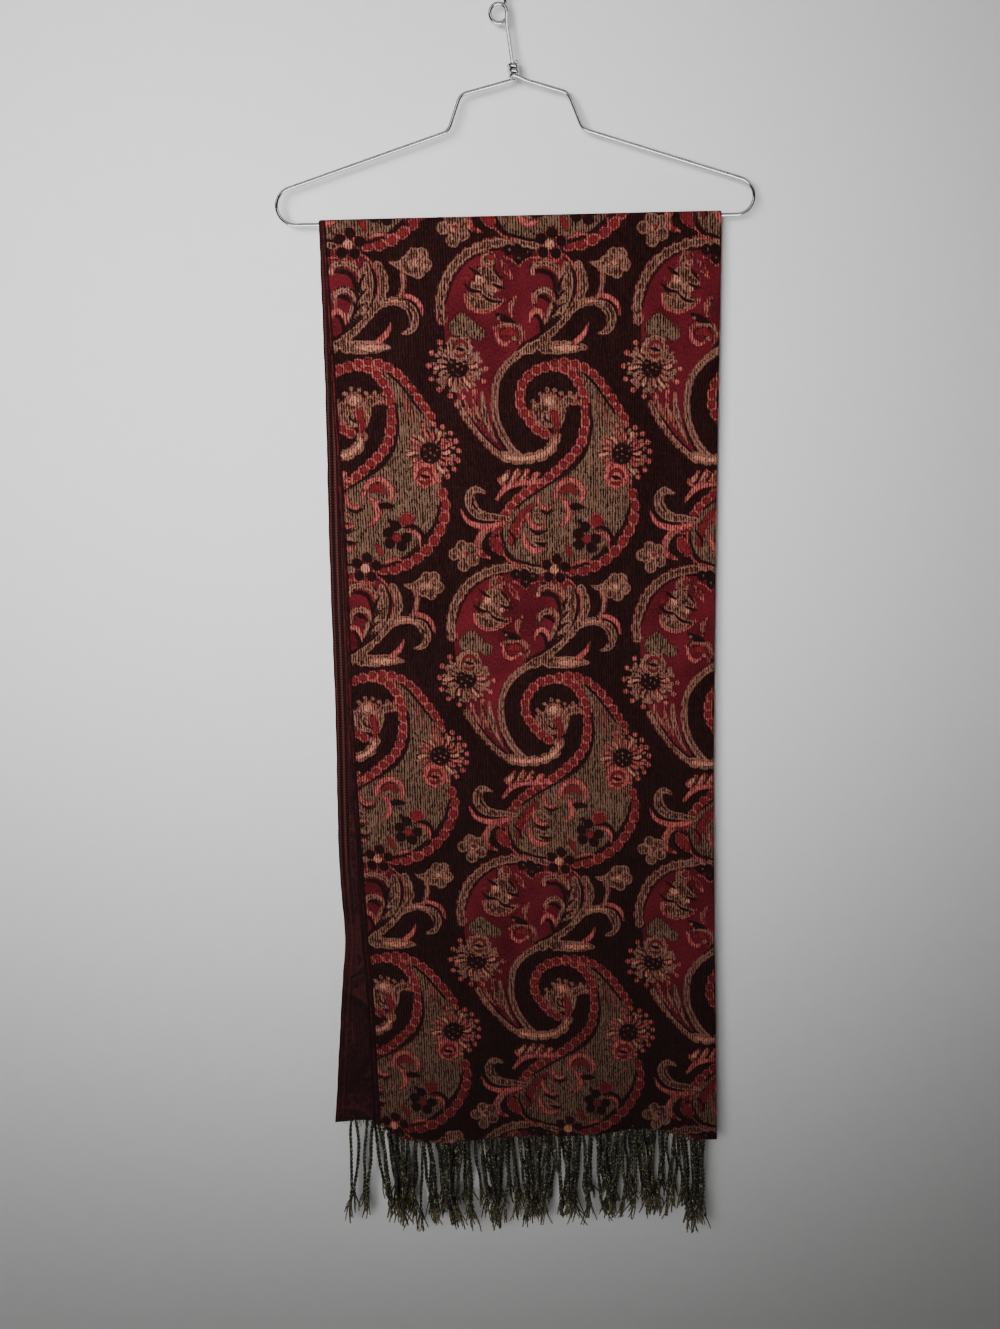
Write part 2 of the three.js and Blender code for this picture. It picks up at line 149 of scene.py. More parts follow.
def along(table: np.ndarray, column: int, at: np.ndarray) -> np.ndarray:
    """A table's column at places on its first column, by a smooth curve through the rows.

    Each stretch is a cubic whose end slopes come from the neighbouring rows.

    Args:
        table: Rows in order of their first column.
        column: Which column to read.
        at: Places on the first column.

    Returns:
        The column's values there.
    """
    keys, values = table[:, 0], table[:, column]
    last = len(keys) - 1
    place = np.clip(at, keys[0], keys[-1])
    row = np.clip(np.searchsorted(keys, place) - 1, 0, last - 1)
    before, after = np.maximum(np.arange(last + 1) - 1, 0), np.minimum(np.arange(last + 1) + 1, last)
    slope = (values[after] - values[before]) / (keys[after] - keys[before])
    span = keys[row + 1] - keys[row]
    t = (place - keys[row]) / span
    start = 1 - t * t * (3 - 2 * t)
    bow = t * (1 - t) * span * ((1 - t) * slope[row] - t * slope[row + 1])
    return start * values[row] + (1 - start) * values[row + 1] + bow


def smoothstep(value: np.ndarray, low: float | np.ndarray, high: float | np.ndarray) -> np.ndarray:
    """0 below low, 1 above high and 3t^2 - 2t^3 between."""
    t = np.clip((value - low) / (high - low), 0, 1)
    return t * t * (3 - 2 * t)


def spline(points: np.ndarray, per_span: int, closed: bool = False) -> np.ndarray:
    """Points on a Catmull-Rom curve through control points, in any number of dimensions.

    Args:
        points: Control points, one a row.
        per_span: Steps between two control points.
        closed: Whether the curve returns to its first point.

    Returns:
        The curve's points, one a row.
    """
    points = np.asarray(points, float)
    if closed:
        ring = np.concatenate([points[-1:], points, points[:2]])
    else:
        ring = np.concatenate([2 * points[:1] - points[1:2], points, 2 * points[-1:] - points[-2:-1]])
    a, b, c, d = ring[:-3, None], ring[1:-2, None], ring[2:-1, None], ring[3:, None]
    t = np.linspace(0, 1, per_span, endpoint=False)[None, :, None]
    curve = b + 0.5 * t * (c - a + t * (2 * a - 5 * b + 4 * c - d + t * (3 * (b - c) + d - a)))
    curve = curve.reshape(-1, points.shape[1])
    return curve if closed else np.concatenate([curve, points[-1:]])


def evenly(curve: np.ndarray, step: float) -> np.ndarray:
    """Points at even distances along a polyline, ends included.

    Args:
        curve: The polyline's points, one a row.
        step: About how far apart they are to lie.

    Returns:
        The points, one a row.
    """
    run = np.concatenate([[0], np.cumsum(np.linalg.norm(np.diff(curve, axis=0), axis=1))])
    at = np.linspace(0, run[-1], max(int(round(run[-1] / step)), 1) + 1)
    return np.stack([np.interp(at, run, curve[:, k]) for k in range(curve.shape[1])], 1)


# ---- the paisley repeat ---------------------------------------------------------------------


class Ink(IntEnum):
    """The yarn colours of the weave, each with a distance field of its own."""

    CRIMSON = 0
    OLIVE = 1
    TAN = 2
    CORAL = 3
    ROSE = 4
    DARK = 5
    ORANGE = 6


class Form(Enum):
    """How a mark's guide points are read."""

    LINE = "line"
    SHAPE = "shape"
    BEADS = "beads"


@dataclass(frozen=True)
class Mark:
    """One motif element, charted in millimetres across and down from the repeat's corner flower.

    A LINE is a stroke whose half widths follow `half` from end to end, a SHAPE is filled, and
    BEADS are short strokes set along the guide curve.
    """

    ink: Ink
    half: tuple[float, ...]
    at: tuple[tuple[float, float], ...]
    form: Form = Form.LINE
    every: float = 9.0
    length: float = 0.01


def line(ink: Ink, half: tuple[float, ...], *at: tuple[float, float]) -> Mark:
    """A stroke through guide points, with its half widths spread from end to end."""
    return Mark(ink, half, at)


def dots(ink: Ink, radius: float, *at: tuple[float, float]) -> tuple[Mark, ...]:
    """Round spots of one radius."""
    return tuple(Mark(ink, (radius,), (place,)) for place in at)


def beads(ink: Ink, half: float, every: float, length: float, *at: tuple[float, float]) -> Mark:
    """Beads along a guide curve."""
    return Mark(ink, (half,), at, Form.BEADS, every, length)


CRIMSON, OLIVE, TAN, CORAL, ROSE, DARK, ORANGE = Ink

# Guide points, across and down from the middle of a corner flower.
CRIMSON_BODY = (
    (-96, 62), (-94, 48), (-90, 38), (-85, 28), (-78, 19), (-68, 11), (-56, 6), (-42, 4), (-25, 5),
    (-8, 9), (8, 12), (17, 17), (23, 27), (24, 38), (21, 49), (14, 60), (4, 70), (-9, 79), (-24, 86),
    (-37, 95), (-47, 105), (-54, 118), (-57, 132), (-57, 150), (-54, 164), (-48, 178), (-58, 176),
    (-67, 166), (-76, 153), (-85, 139), (-91, 118), (-95, 90),
)
CROWN = (
    (-9, 3), (-20, 2), (-34, 0), (-48, 0), (-60, 3), (-70, 7), (-79, 13), (-87, 21), (-93, 31),
    (-97, 42), (-99, 54), (-98, 63),
)
FLANK = ((25, 21), (29, 32), (28, 43), (22, 53), (13, 63), (3, 73), (-7, 81))
TAIL_CORD = (
    (-6, 83), (-18, 88), (-29, 94), (-39, 101), (-47, 110), (-52, 120), (-54, 132), (-54, 145),
    (-51, 157), (-46, 168), (-40, 177), (-34, 183),
)
TAIL_OUTER = ((-87, 136), (-81, 147), (-73, 158), (-65, 168), (-57, 177), (-47, 184), (-37, 187))
TAIL_FOOT = ((-46, 184), (-36, 186), (-25, 186), (-14, 184), (-6, 180), (-1, 174), (1, 168))
OLIVE_BODY = (
    (18, 105), (30, 112), (42, 124), (52, 138), (60, 150), (66, 168), (71, 190), (71, 215), (69, 232),
    (64, 247), (56, 259), (46, 270), (35, 279), (22, 285), (8, 287), (-10, 285), (-25, 283),
    (-38, 278), (-46, 270), (-50, 260), (-51, 250), (-47, 240), (-38, 229), (-24, 219), (-10, 211),
    (4, 203), (18, 194), (27, 184), (32, 172), (34, 158), (33, 142), (30, 128), (25, 115),
)
CURL = (
    (-9, 165), (-17, 160), (-24, 151), (-30, 141), (-31, 130), (-27, 119), (-19, 111), (-9, 107),
    (2, 106), (12, 109), (20, 116), (26, 127), (29, 139), (29, 151), (27, 163), (24, 174), (17, 184),
    (7, 193), (-4, 202), (-16, 210), (-30, 218), (-41, 227), (-48, 236),
)
SHOULDER = ((2, 104), (13, 103), (24, 106), (34, 112), (43, 121), (51, 132), (58, 143), (64, 153))
BELLY = (
    (71, 221), (73, 234), (71, 247), (65, 259), (57, 270), (47, 279), (35, 286), (23, 290), (12, 290),
)


# ---- the motifs, bottom first

# The two filled paisleys.
BODIES = (
    Mark(CRIMSON, (0,), CRIMSON_BODY, Form.SHAPE),
    Mark(OLIVE, (0,), OLIVE_BODY, Form.SHAPE),
)
# The crimson paisley's lobed crown, flank and tail.
CRIMSON_OUTLINE = (
    beads(CORAL, 5.2, 9.2, 0.6, *CROWN),
    beads(TAN, 4.2, 9.2, 0.8, *CROWN),
    line(TAN, (3.3,), *CROWN),
    line(DARK, (0.7,), (-42, 5), (-56, 7), (-68, 12), (-78, 20), (-85, 29), (-90, 39), (-94, 50)),
    beads(TAN, 4.4, 9, 3, *FLANK),
    line(TAN, (3.4,), *FLANK),
    line(TAN, (3.3, 2.9, 3.1), *TAIL_CORD),
    line(DARK, (0.4, 0.5, 0.4), *TAIL_CORD[2:]),
    beads(CORAL, 3.9, 7, 1, *TAIL_OUTER),
    beads(TAN, 2.9, 7, 1, *TAIL_OUTER),
    line(TAN, (1.9,), *TAIL_OUTER),
    line(DARK, (0.8,), (-83, 137), (-76, 149), (-68, 161), (-60, 170), (-50, 179)),
    beads(TAN, 5.0, 10, 3, *TAIL_FOOT),
    line(ORANGE, (2.2,), *TAIL_FOOT),
)
# Small dark flower and the pale line that dips under the corner flower.
NOTCH = (
    *dots(DARK, 4.6, (-36, 6), (-28, 6), (-20, 9), (-27, 14)),
    *dots(OLIVE, 1.7, (-35, 6), (-27, 13), (-20, 8)),
    line(
        CORAL, (0.9,), (-40, 12), (-33, 15), (-27, 20), (-22, 15), (-14, 13), (-5, 14), (3, 17), (9, 15),
        (12, 11), (19, 17), (24, 26), (25, 38), (22, 49),
    ),
    line(DARK, (1.1,), (16, 18), (21, 27), (22, 38), (19, 49), (12, 60), (2, 70), (-10, 78), (-26, 87)),
)
# Tulip in the crimson crown.
TULIP = (
    *dots(CORAL, 7.6, (-54, 14)),
    *dots(TAN, 6.2, (-54, 14)),
    *dots(CORAL, 9.6, (-58, 27)),
    *dots(CORAL, 8.4, (-50, 33), (-64, 37)),
    *dots(TAN, 8.2, (-58, 27)),
    *dots(TAN, 7.0, (-50, 33), (-64, 37), (-58, 44)),
    line(CORAL, (1.5, 6.3, 6.6, 5, 1.5), (-76, 42), (-70, 50), (-60, 53), (-50, 51), (-42, 48)),
    line(TAN, (1.2, 4.9, 5.2, 3.6, 1), (-74, 42), (-69, 49), (-60, 52), (-51, 50), (-44, 48)),
    *dots(ORANGE, 4, (-63, 30)),
    *dots(ROSE, 2.8, (-74, 29), (-52, 12)),
    *dots(ORANGE, 2.6, (-50, 39)),
    line(DARK, (0.5, 1.4, 0.6), (-71, 20), (-66, 24), (-61, 27)),
    line(DARK, (0.5, 1.5, 0.7), (-77, 33), (-71, 39), (-61, 41)),
    line(DARK, (0.6, 1.4, 0.4), (-52, 34), (-46, 37), (-40, 38)),
    line(DARK, (0.6, 1.4, 0.6), (-61, 43), (-55, 48), (-46, 50)),
    line(DARK, (0.5, 1.2, 0.5), (-50, 22), (-46, 27), (-44, 31)),
)
# Small leaf beside the tulip.
SMALL_LEAF = (
    line(CORAL, (0.9, 3.2, 1), (-43, 15), (-39, 22), (-34, 30)),
    line(ROSE, (0.5, 1.6, 0.5), (-41, 18), (-37, 26)),
)
# Plant on the crimson paisley's right: a veined leaf and three scrolls.
RIGHT_PLANT = (
    line(TAN, (3, 6, 8, 7, 3), (15, 20), (15, 31), (12, 42), (7, 54), (-3, 68)),
    line(
        CORAL, (1.5, 3.4, 3.4, 3.4, 3, 2.2, 1), (-17, 27), (-15, 21), (-8, 18), (0, 19), (7, 24), (9, 33),
        (8, 42),
    ),
    line(
        TAN, (0.9, 2.3, 2.3, 2.3, 2, 1, 0.5), (-17, 26), (-15, 21), (-8, 18), (0, 19), (7, 24), (9, 33),
        (8, 42),
    ),
    *dots(ORANGE, 2.6, (-15, 25)),
    line(DARK, (0.8, 1.8, 1.7, 1.4, 0.8), (-13, 25), (-5, 25), (1, 28), (4, 35), (5, 46)),
    line(CORAL, (1.8, 3.4, 3.4, 3, 2, 1.2), (-15, 53), (-14, 45), (-8, 41), (-1, 42), (3, 48), (3, 57)),
    line(TAN, (1, 2.3, 2.3, 1.9, 1.2, 0.6), (-15, 52), (-14, 45), (-8, 41), (-1, 42), (3, 48), (3, 57)),
    line(DARK, (0.8, 2.0, 0.8), (-11, 46), (-5, 47), (-1, 51)),
    *dots(CRIMSON, 4.5, (-9, 54)),
    line(CORAL, (1.2, 2.2, 2.4, 2, 1), (-20, 67), (-17, 60), (-12, 58), (-8, 62), (-6, 71)),
    line(DARK, (0.7, 1.5, 1.5, 0.8), (-15, 62), (-11, 64), (-9, 70), (-9, 78)),
    line(DARK, (0.6, 1.3, 0.7), (14, 27), (9, 34), (7, 43)),
    line(DARK, (0.6, 1.2, 0.6), (15, 40), (9, 45), (6, 50)),
    line(DARK, (0.6, 1.2, 0.6), (13, 52), (7, 55), (3, 61)),
    line(DARK, (0.6, 1.1, 0.6), (8, 62), (2, 66), (-3, 71)),
    line(DARK, (0.6, 1.1, 0.9, 0.6), (6, 44), (4, 54), (-1, 65), (-8, 76)),
)
# Bud in the middle of the crimson paisley.
CRIMSON_BUD = (
    line(CORAL, (1.4, 2.9, 1.5), (-31, 46), (-36, 53), (-35, 62)),
    line(TAN, (0.6, 1.6, 0.6), (-32, 48), (-35, 54), (-35, 60)),
    line(
        CORAL, (1.6, 2.6, 2.7, 2.7, 2.3, 1.2), (-52, 72), (-44, 69), (-36, 69), (-29, 72), (-26, 79),
        (-30, 87),
    ),
    line(
        TAN, (0.7, 1.3, 1.3, 1.3, 1, 0.5), (-50, 71), (-44, 69), (-36, 69), (-29, 72), (-26, 79),
        (-30, 86),
    ),
    line(DARK, (1.2, 3.2, 1), (-49, 60), (-42, 64), (-34, 67)),
    line(ROSE, (2.4, 3.4, 2.4), (-44, 76), (-38, 75), (-33, 79)),
    line(CORAL, (1.4, 2.1, 2.1, 1), (-50, 74), (-49, 81), (-43, 86), (-37, 83)),
    *dots(TAN, 2.3, (-34, 81)),
    *dots(TAN, 1.8, (-47, 63)),
)
# Hatched patch above the aster.
HATCHED_PATCH = (
    *dots(OLIVE, 8, (-84, 70), (-75, 71)),
    *dots(OLIVE, 6, (-80, 64), (-66, 76)),
)
# Three long leaves in the tail.
TAIL_LEAVES = (
    line(CORAL, (1, 2.6, 0.8), (-83, 127), (-79, 140), (-71, 153)),
    line(TAN, (0.5, 1.5, 0.5), (-82, 129), (-79, 139), (-73, 150)),
    line(CORAL, (1, 2.8, 0.8), (-73, 128), (-71, 142), (-64, 158)),
    line(TAN, (0.5, 1.6, 0.5), (-73, 131), (-71, 142), (-66, 154)),
    line(TAN, (1, 2.8, 1.8, 0.6), (-65, 127), (-64, 143), (-59, 160), (-53, 172)),
)
# Comb leaf below the crimson paisley, with the scroll, tendril and clover on its right.
RIGHT_SCROLL = (
    *dots(TAN, 5.2, (-20, 90), (-7, 90)),
    line(TAN, (3, 5.2, 5.8, 5, 1.4), (-14, 88), (1, 90), (12, 90), (22, 90), (31, 91)),
    line(ORANGE, (1.5, 3.4, 1.2), (2, 90), (13, 91), (25, 90)),
    line(CORAL, (2.6, 2.4, 0.8), (21, 86), (29, 79), (33, 70)),
    line(CORAL, (1.5, 2.2, 2.4, 2, 0.8), (33, 51), (45, 47), (54, 49), (60, 55), (62, 64)),
    line(
        TAN, (3.6, 3.2, 3.6, 4.6, 4.7, 4.2, 3, 1), (21, 55), (31, 52), (40, 51), (48, 54), (53, 61),
        (54, 70), (50, 77), (43, 79),
    ),
    line(ORANGE, (0.9, 1.6, 0.9), (26, 53), (36, 51), (46, 52)),
    line(DARK, (0.5, 1.0, 0.5), (44, 49), (54, 53), (59, 62)),
    line(DARK, (0.4, 0.9, 0.4), (47, 56), (52, 64), (50, 74)),
    line(CORAL, (2.2, 2.5, 2.6, 2.4, 0.9), (42, 48), (46, 39), (47, 30), (44, 22), (37, 18)),
    line(TAN, (1.2, 1.6, 1.6, 1.5, 0.5), (42, 48), (46, 39), (47, 30), (44, 22), (37, 18)),
    line(TAN, (0.8, 2.8, 2), (36, 18), (42, 20), (48, 17)),
    *dots(TAN, 5.6, (51, 18), (57, 12), (64, 12), (67, 21), (60, 27), (53, 24)),
    *dots(TAN, 7, (59, 19)),
    *dots(ORANGE, 2.8, (58, 19)),
    *dots(ORANGE, 1.6, (64, 14), (66, 22), (53, 20)),
)
# Bud inside the curl, under an arc of dots.
CURL_BUD = (
    *dots(CORAL, 9.6, (-4, 138)),
    *dots(CORAL, 7.4, (-14, 144)),
    *dots(TAN, 8.4, (-4, 138)),
    *dots(TAN, 6.4, (-14, 144), (-11, 151)),
    line(TAN, (2, 2.4, 1.6), (-18, 151), (-10, 157), (-2, 158)),
    line(CORAL, (3, 5.2, 4.8, 1), (5, 144), (11, 137), (18, 136), (24, 140)),
    line(TAN, (2, 4, 3.6, 0.7), (5, 144), (11, 137), (18, 136), (23, 139)),
    line(TAN, (3, 2, 1), (8, 145), (7, 153), (5, 160)),
    *dots(ORANGE, 4.4, (-4, 136)),
    line(CORAL, (4.4, 3.8, 2), (0, 147), (2, 156), (1, 167)),
    line(ROSE, (2.8, 2.4, 0.8), (0, 147), (2, 156), (1, 165)),
    line(DARK, (0.5, 1.0, 0.5), (-8, 146), (-9, 151), (-5, 155)),
    *dots(TAN, 1.9, (-12, 130), (-6, 126), (1, 127), (7, 130), (15, 130), (-19, 136), (22, 131)),
)
# The olive paisley's bead bands and its rims.
OLIVE_OUTLINE = (
    beads(CORAL, 4.8, 8.8, 1.0, *CURL),
    line(CORAL, (2.2,), *CURL),
    beads(ROSE, 2.8, 8.8, 1.0, *CURL),
    beads(CORAL, 4.4, 8.8, 1.0, *SHOULDER),
    line(CORAL, (1.8,), *SHOULDER),
    beads(ROSE, 2.6, 8.8, 1.0, *SHOULDER),
    beads(CORAL, 4.9, 11.0, 2.6, *BELLY),
    beads(ROSE, 3.0, 11.0, 2.4, *BELLY),
    line(
        DARK, (0.9,), (33, 140), (34, 158), (32, 172), (27, 184), (18, 195), (4, 204), (-10, 212),
        (-24, 220), (-38, 230),
    ),
    line(DARK, (0.9,), (28, 113), (38, 123), (48, 137), (56, 149)),
    line(
        DARK, (1.0,), (69, 230), (64, 246), (56, 258), (46, 269), (35, 278), (22, 285), (8, 287),
        (-10, 285), (-25, 283), (-38, 278),
    ),
    line(CORAL, (0.9,), (-48, 238), (-53, 250), (-54, 262), (-51, 272), (-44, 280), (-34, 285)),
    line(CORAL, (3.4, 5.2, 3.6), (-49, 240), (-54, 244), (-58, 249)),
    line(ROSE, (2.2, 3.8, 2.4), (-49, 240), (-54, 244), (-58, 249)),
    line(CORAL, (3.2, 6.2, 3.8), (-61, 257), (-58, 263), (-54, 269)),
    line(ROSE, (1.9, 4.8, 2.6), (-61, 257), (-58, 263), (-54, 269)),
)
# Feather leaf, stem, scroll, tendril and clover on the olive paisley's left.
LEFT_SCROLL = (
    line(CORAL, (4.2, 3.0, 1.6), (-50, 205), (-46, 201), (-44, 197)),
    line(CORAL, (4.4, 3.6, 1.6), (-43, 205), (-38, 200), (-35, 196)),
    line(CORAL, (4.4, 3.6, 1.8), (-34, 205), (-29, 200), (-26, 197)),
    line(CORAL, (3.8, 3.2, 1.6), (-25, 206), (-20, 202), (-16, 200)),
    line(ORANGE, (2.6, 1.2), (-49, 204), (-45, 199)),
    line(ORANGE, (2.6, 1.2), (-42, 204), (-37, 198)),
    line(ORANGE, (2.4, 1.2), (-33, 204), (-28, 199)),
    line(DARK, (0.6, 1.0, 0.5), (-47, 208), (-42, 202), (-39, 196)),
    line(DARK, (0.6, 1.0, 0.5), (-38, 208), (-33, 202), (-30, 197)),
    line(DARK, (0.6, 1.0, 0.5), (-29, 208), (-24, 203), (-21, 198)),
    line(CORAL, (1.6, 1.7, 2, 2.6, 1.5), (-9, 208), (-24, 208), (-38, 209), (-48, 213), (-56, 222)),
    line(CORAL, (2, 2.6, 2.8, 2.2, 0.8), (-48, 243), (-62, 246), (-74, 245), (-84, 240), (-89, 230)),
    line(
        TAN, (2.6, 3, 3.6, 4.6, 5, 4.6, 3.2, 1.2), (-45, 240), (-57, 238), (-67, 237), (-75, 233),
        (-80, 225), (-80, 217), (-75, 212), (-67, 215),
    ),
    line(DARK, (0.5, 1.1, 0.5), (-62, 242), (-75, 240), (-84, 232)),
    line(DARK, (0.4, 0.9, 0.4), (-72, 233), (-78, 225), (-77, 215)),
    line(CORAL, (1.6, 3, 3.2, 3.2, 1), (-58, 247), (-69, 251), (-75, 260), (-73, 270), (-64, 275)),
    line(TAN, (0.6, 1.5, 1.5, 0.5), (-62, 248), (-69, 253), (-73, 261), (-72, 268)),
    *dots(ROSE, 2.1, (-70, 272)),
    *dots(TAN, 5.6, (-97, 270), (-90, 263), (-81, 266), (-80, 276), (-89, 281), (-88, 272)),
    *dots(ORANGE, 2.6, (-88, 271)),
    *dots(ROSE, 1.9, (-86, 270)),
)
# Stripes by the olive shoulder.
SHOULDER_STRIPES = (
    line(CORAL, (0.5, 1.0, 0.5), (39, 128), (42, 142), (40, 158)),
    line(CORAL, (0.5, 1.0, 0.5), (45, 136), (48, 150), (46, 162)),
    line(TAN, (0.5, 1.0, 0.5), (52, 144), (54, 154), (52, 164)),
)
# Plant on the olive paisley's left: a rose leaf and its scrolls.
LEFT_PLANT = (
    line(ROSE, (1.5, 4.4, 4.6, 2), (-44, 263), (-41, 251), (-34, 240), (-23, 228)),
    line(CORAL, (0.5, 1.1, 1, 0.5), (-42, 267), (-37, 254), (-33, 243), (-24, 230)),
    line(CORAL, (0.5, 0.9, 0.5), (-46, 256), (-42, 250), (-36, 248)),
    line(CORAL, (0.5, 0.9, 0.5), (-42, 244), (-37, 241), (-30, 240)),
    line(DARK, (0.5, 1.0, 0.5), (-46, 250), (-41, 257), (-40, 264)),
    line(TAN, (2, 4, 1), (-21, 236), (-18, 241), (-12, 243)),
    line(TAN, (2, 5, 1), (-25, 255), (-20, 261), (-12, 262)),
    line(CORAL, (1.1, 2.0, 2.0, 0.9), (-17, 220), (-16, 228), (-10, 232), (-3, 229)),
    line(DARK, (0.6, 1.3, 0.6), (-16, 233), (-9, 236), (-2, 233)),
    line(CORAL, (1.2, 2.3, 2.4, 0.9), (-27, 233), (-26, 243), (-20, 249), (-11, 248)),
    line(DARK, (0.6, 1.4, 0.6), (-26, 250), (-18, 254), (-11, 252)),
    line(CORAL, (1.3, 2.7, 3, 1), (-32, 253), (-30, 264), (-22, 270), (-12, 268)),
    line(DARK, (0.7, 1.7, 0.7), (-22, 262), (-16, 264), (-10, 264)),
)
# Bud in the middle of the olive paisley.
OLIVE_BUD = (
    line(
        CORAL, (1.3, 2.4, 2.4, 2.4, 2.6, 2.2, 1), (-2, 224), (1, 214), (7, 208), (15, 207), (22, 212),
        (25, 220), (21, 229),
    ),
    line(ROSE, (2.2, 3.2, 2.2), (6, 217), (13, 214), (18, 219)),
    line(CORAL, (0.8, 1.7, 0.9), (3, 221), (8, 227), (15, 226)),
    line(DARK, (1.8, 3, 0.8), (12, 232), (18, 231), (26, 232)),
    line(CORAL, (2, 2.8, 2.2, 1), (8, 228), (11, 237), (8, 244), (2, 248)),
)
# Dark flower, with the round fruit above it.
DARK_FLOWER = (
    *dots(DARK, 4.6, (19, 256), (26, 250), (36, 261), (31, 269), (20, 266)),
    *dots(ROSE, 4, (27, 261)),
    *dots(CORAL, 7.4, (37, 245)),
    *dots(ROSE, 5.6, (37, 245)),
    *dots(DARK, 2, (21, 245)),
    line(CORAL, (0.8, 1.8, 1.8, 0.8), (36, 256), (43, 256), (48, 262), (47, 270)),
    line(DARK, (0.6, 1.5, 1.3, 0.6), (34, 252), (43, 251), (50, 257), (51, 266)),
    line(ROSE, (1, 3, 1.4), (7, 266), (10, 271), (12, 277)),
    line(CORAL, (0.8, 1.9, 0.9), (13, 284), (22, 281), (31, 281)),
)
# Where the petals' tips and the stamens of an aster lie, from its middle.
PETAL_TIPS = (17.0, 20.5)
STAMENS = (4.8, 6.4, 5.2, 6.0, 4.6, 6.6)
CORNER_PETALS = ((-6.5, -2.5), (3, -7.5), (11, 0), (6, 10), (-5.5, 9))
CORNER_EYE = (0.5, 2)


def ring_of(middle: tuple[float, float], radius: float, degrees: np.ndarray) -> list[tuple[float, float]]:
    """Places round a middle at angles counted from the right, downwards."""
    turn = np.radians(degrees)
    return list(zip(middle[0] + radius * np.cos(turn), middle[1] + radius * np.sin(turn)))


def aster(middle: tuple[float, float], petal: Ink, first: float, last: float) -> list[Mark]:
    """An aster: a dark eye with pale stamens, a wheel of petals and a ring of dots.

    Args:
        middle: Its middle.
        petal: The petals' ink.
        first: Angle of the first dot.
        last: Angle of the last dot.

    Returns:
        Its marks, bottom first.
    """
    wheel = np.arange(18) * 20.0
    tips = np.where(np.arange(18) % 2, PETAL_TIPS[1], PETAL_TIPS[0])
    roots, bellies = ring_of(middle, 9.5, wheel), ring_of(middle, 14, wheel + 3)
    petals = zip(roots, bellies, ring_of(middle, tips, wheel - 2))
    points = zip(ring_of(middle, 18, wheel + 9), ring_of(middle, 22, wheel + 9))
    stamens = np.array(STAMENS)
    marks = list(dots(DARK, 9.0, middle))
    marks += [line(petal if i % 3 else ORANGE, (0.6, 1.5, 1.9), *guide) for i, guide in enumerate(petals)]
    marks += [line(TAN, (0.5, 1.2, 1.4), *guide) for guide in points]
    marks += dots(TAN, 1.4, *ring_of(middle, stamens, np.arange(6) * 60.0 + stamens * 6), middle)
    marks += dots(CORAL, 2.5, *ring_of(middle, 26, np.linspace(first, last, 10)))
    return marks


def rose_head(middle: tuple[float, float], rim: Ink) -> list[Mark]:
    """A round rose: a lobed rim, two crimson petals and a dark slit for its eye.

    Args:
        middle: Its middle.
        rim: The rim's ink.

    Returns:
        Its marks, bottom first.
    """
    u, d = middle
    return [
        *dots(rim, 3.6, *ring_of(middle, 8.5, np.arange(8) * 45.0)),
        *dots(rim, 8.5, middle),
        line(ROSE, (0.8, 1.5, 1.5, 0.8), (u - 7, d + 2), (u - 3, d - 5), (u + 4, d - 5), (u + 7, d + 1)),
        line(ROSE, (0.8, 1.6, 0.8), (u - 5, d + 5), (u, d + 7), (u + 5, d + 5)),
        line(DARK, (0.6, 1.7, 0.7), (u - 4, d), (u, d + 1), (u + 4, d + 2)),
    ]


def chart() -> list[Mark]:
    """The whole repeat, in the order in which it is painted.

    Returns:
        The marks, bottom first: a crimson paisley whose tail runs round a bead-edged olive one.
    """
    return [
        *BODIES,
        *CRIMSON_OUTLINE,
        *NOTCH,
        *TULIP,
        *SMALL_LEAF,
        *RIGHT_PLANT,
        *CRIMSON_BUD,
        *HATCHED_PATCH,
        *TAIL_LEAVES,
        *aster((-86, 104), TAN, 5, 235),
        *rose_head((-83, 88), TAN),
        *RIGHT_SCROLL,
        *CURL_BUD,
        *OLIVE_OUTLINE,
        *LEFT_SCROLL,
        *SHOULDER_STRIPES,
        *LEFT_PLANT,
        *OLIVE_BUD,
        *DARK_FLOWER,
        *aster((62, 185), CORAL, -100, 75),
        *rose_head((56, 205), CORAL),
        *dots(CORAL, 5.4, *CORNER_PETALS),
        *dots(DARK, 4.4, *CORNER_PETALS),
        *dots(ORANGE, 4.4, CORNER_EYE),
    ]


def lay(fields: np.ndarray, ink: Ink, distance: np.ndarray) -> np.ndarray:
    """Paints a distance over fields: its own ink grows by it and the others give way.

    Args:
        fields: One field for each ink.
        ink: The ink to lay.
        distance: Negative inside the new shape.

    Returns:
        The new fields.
    """
    laid = np.maximum(fields, -distance)
    laid[ink] = np.minimum(fields[ink], distance)
    return laid


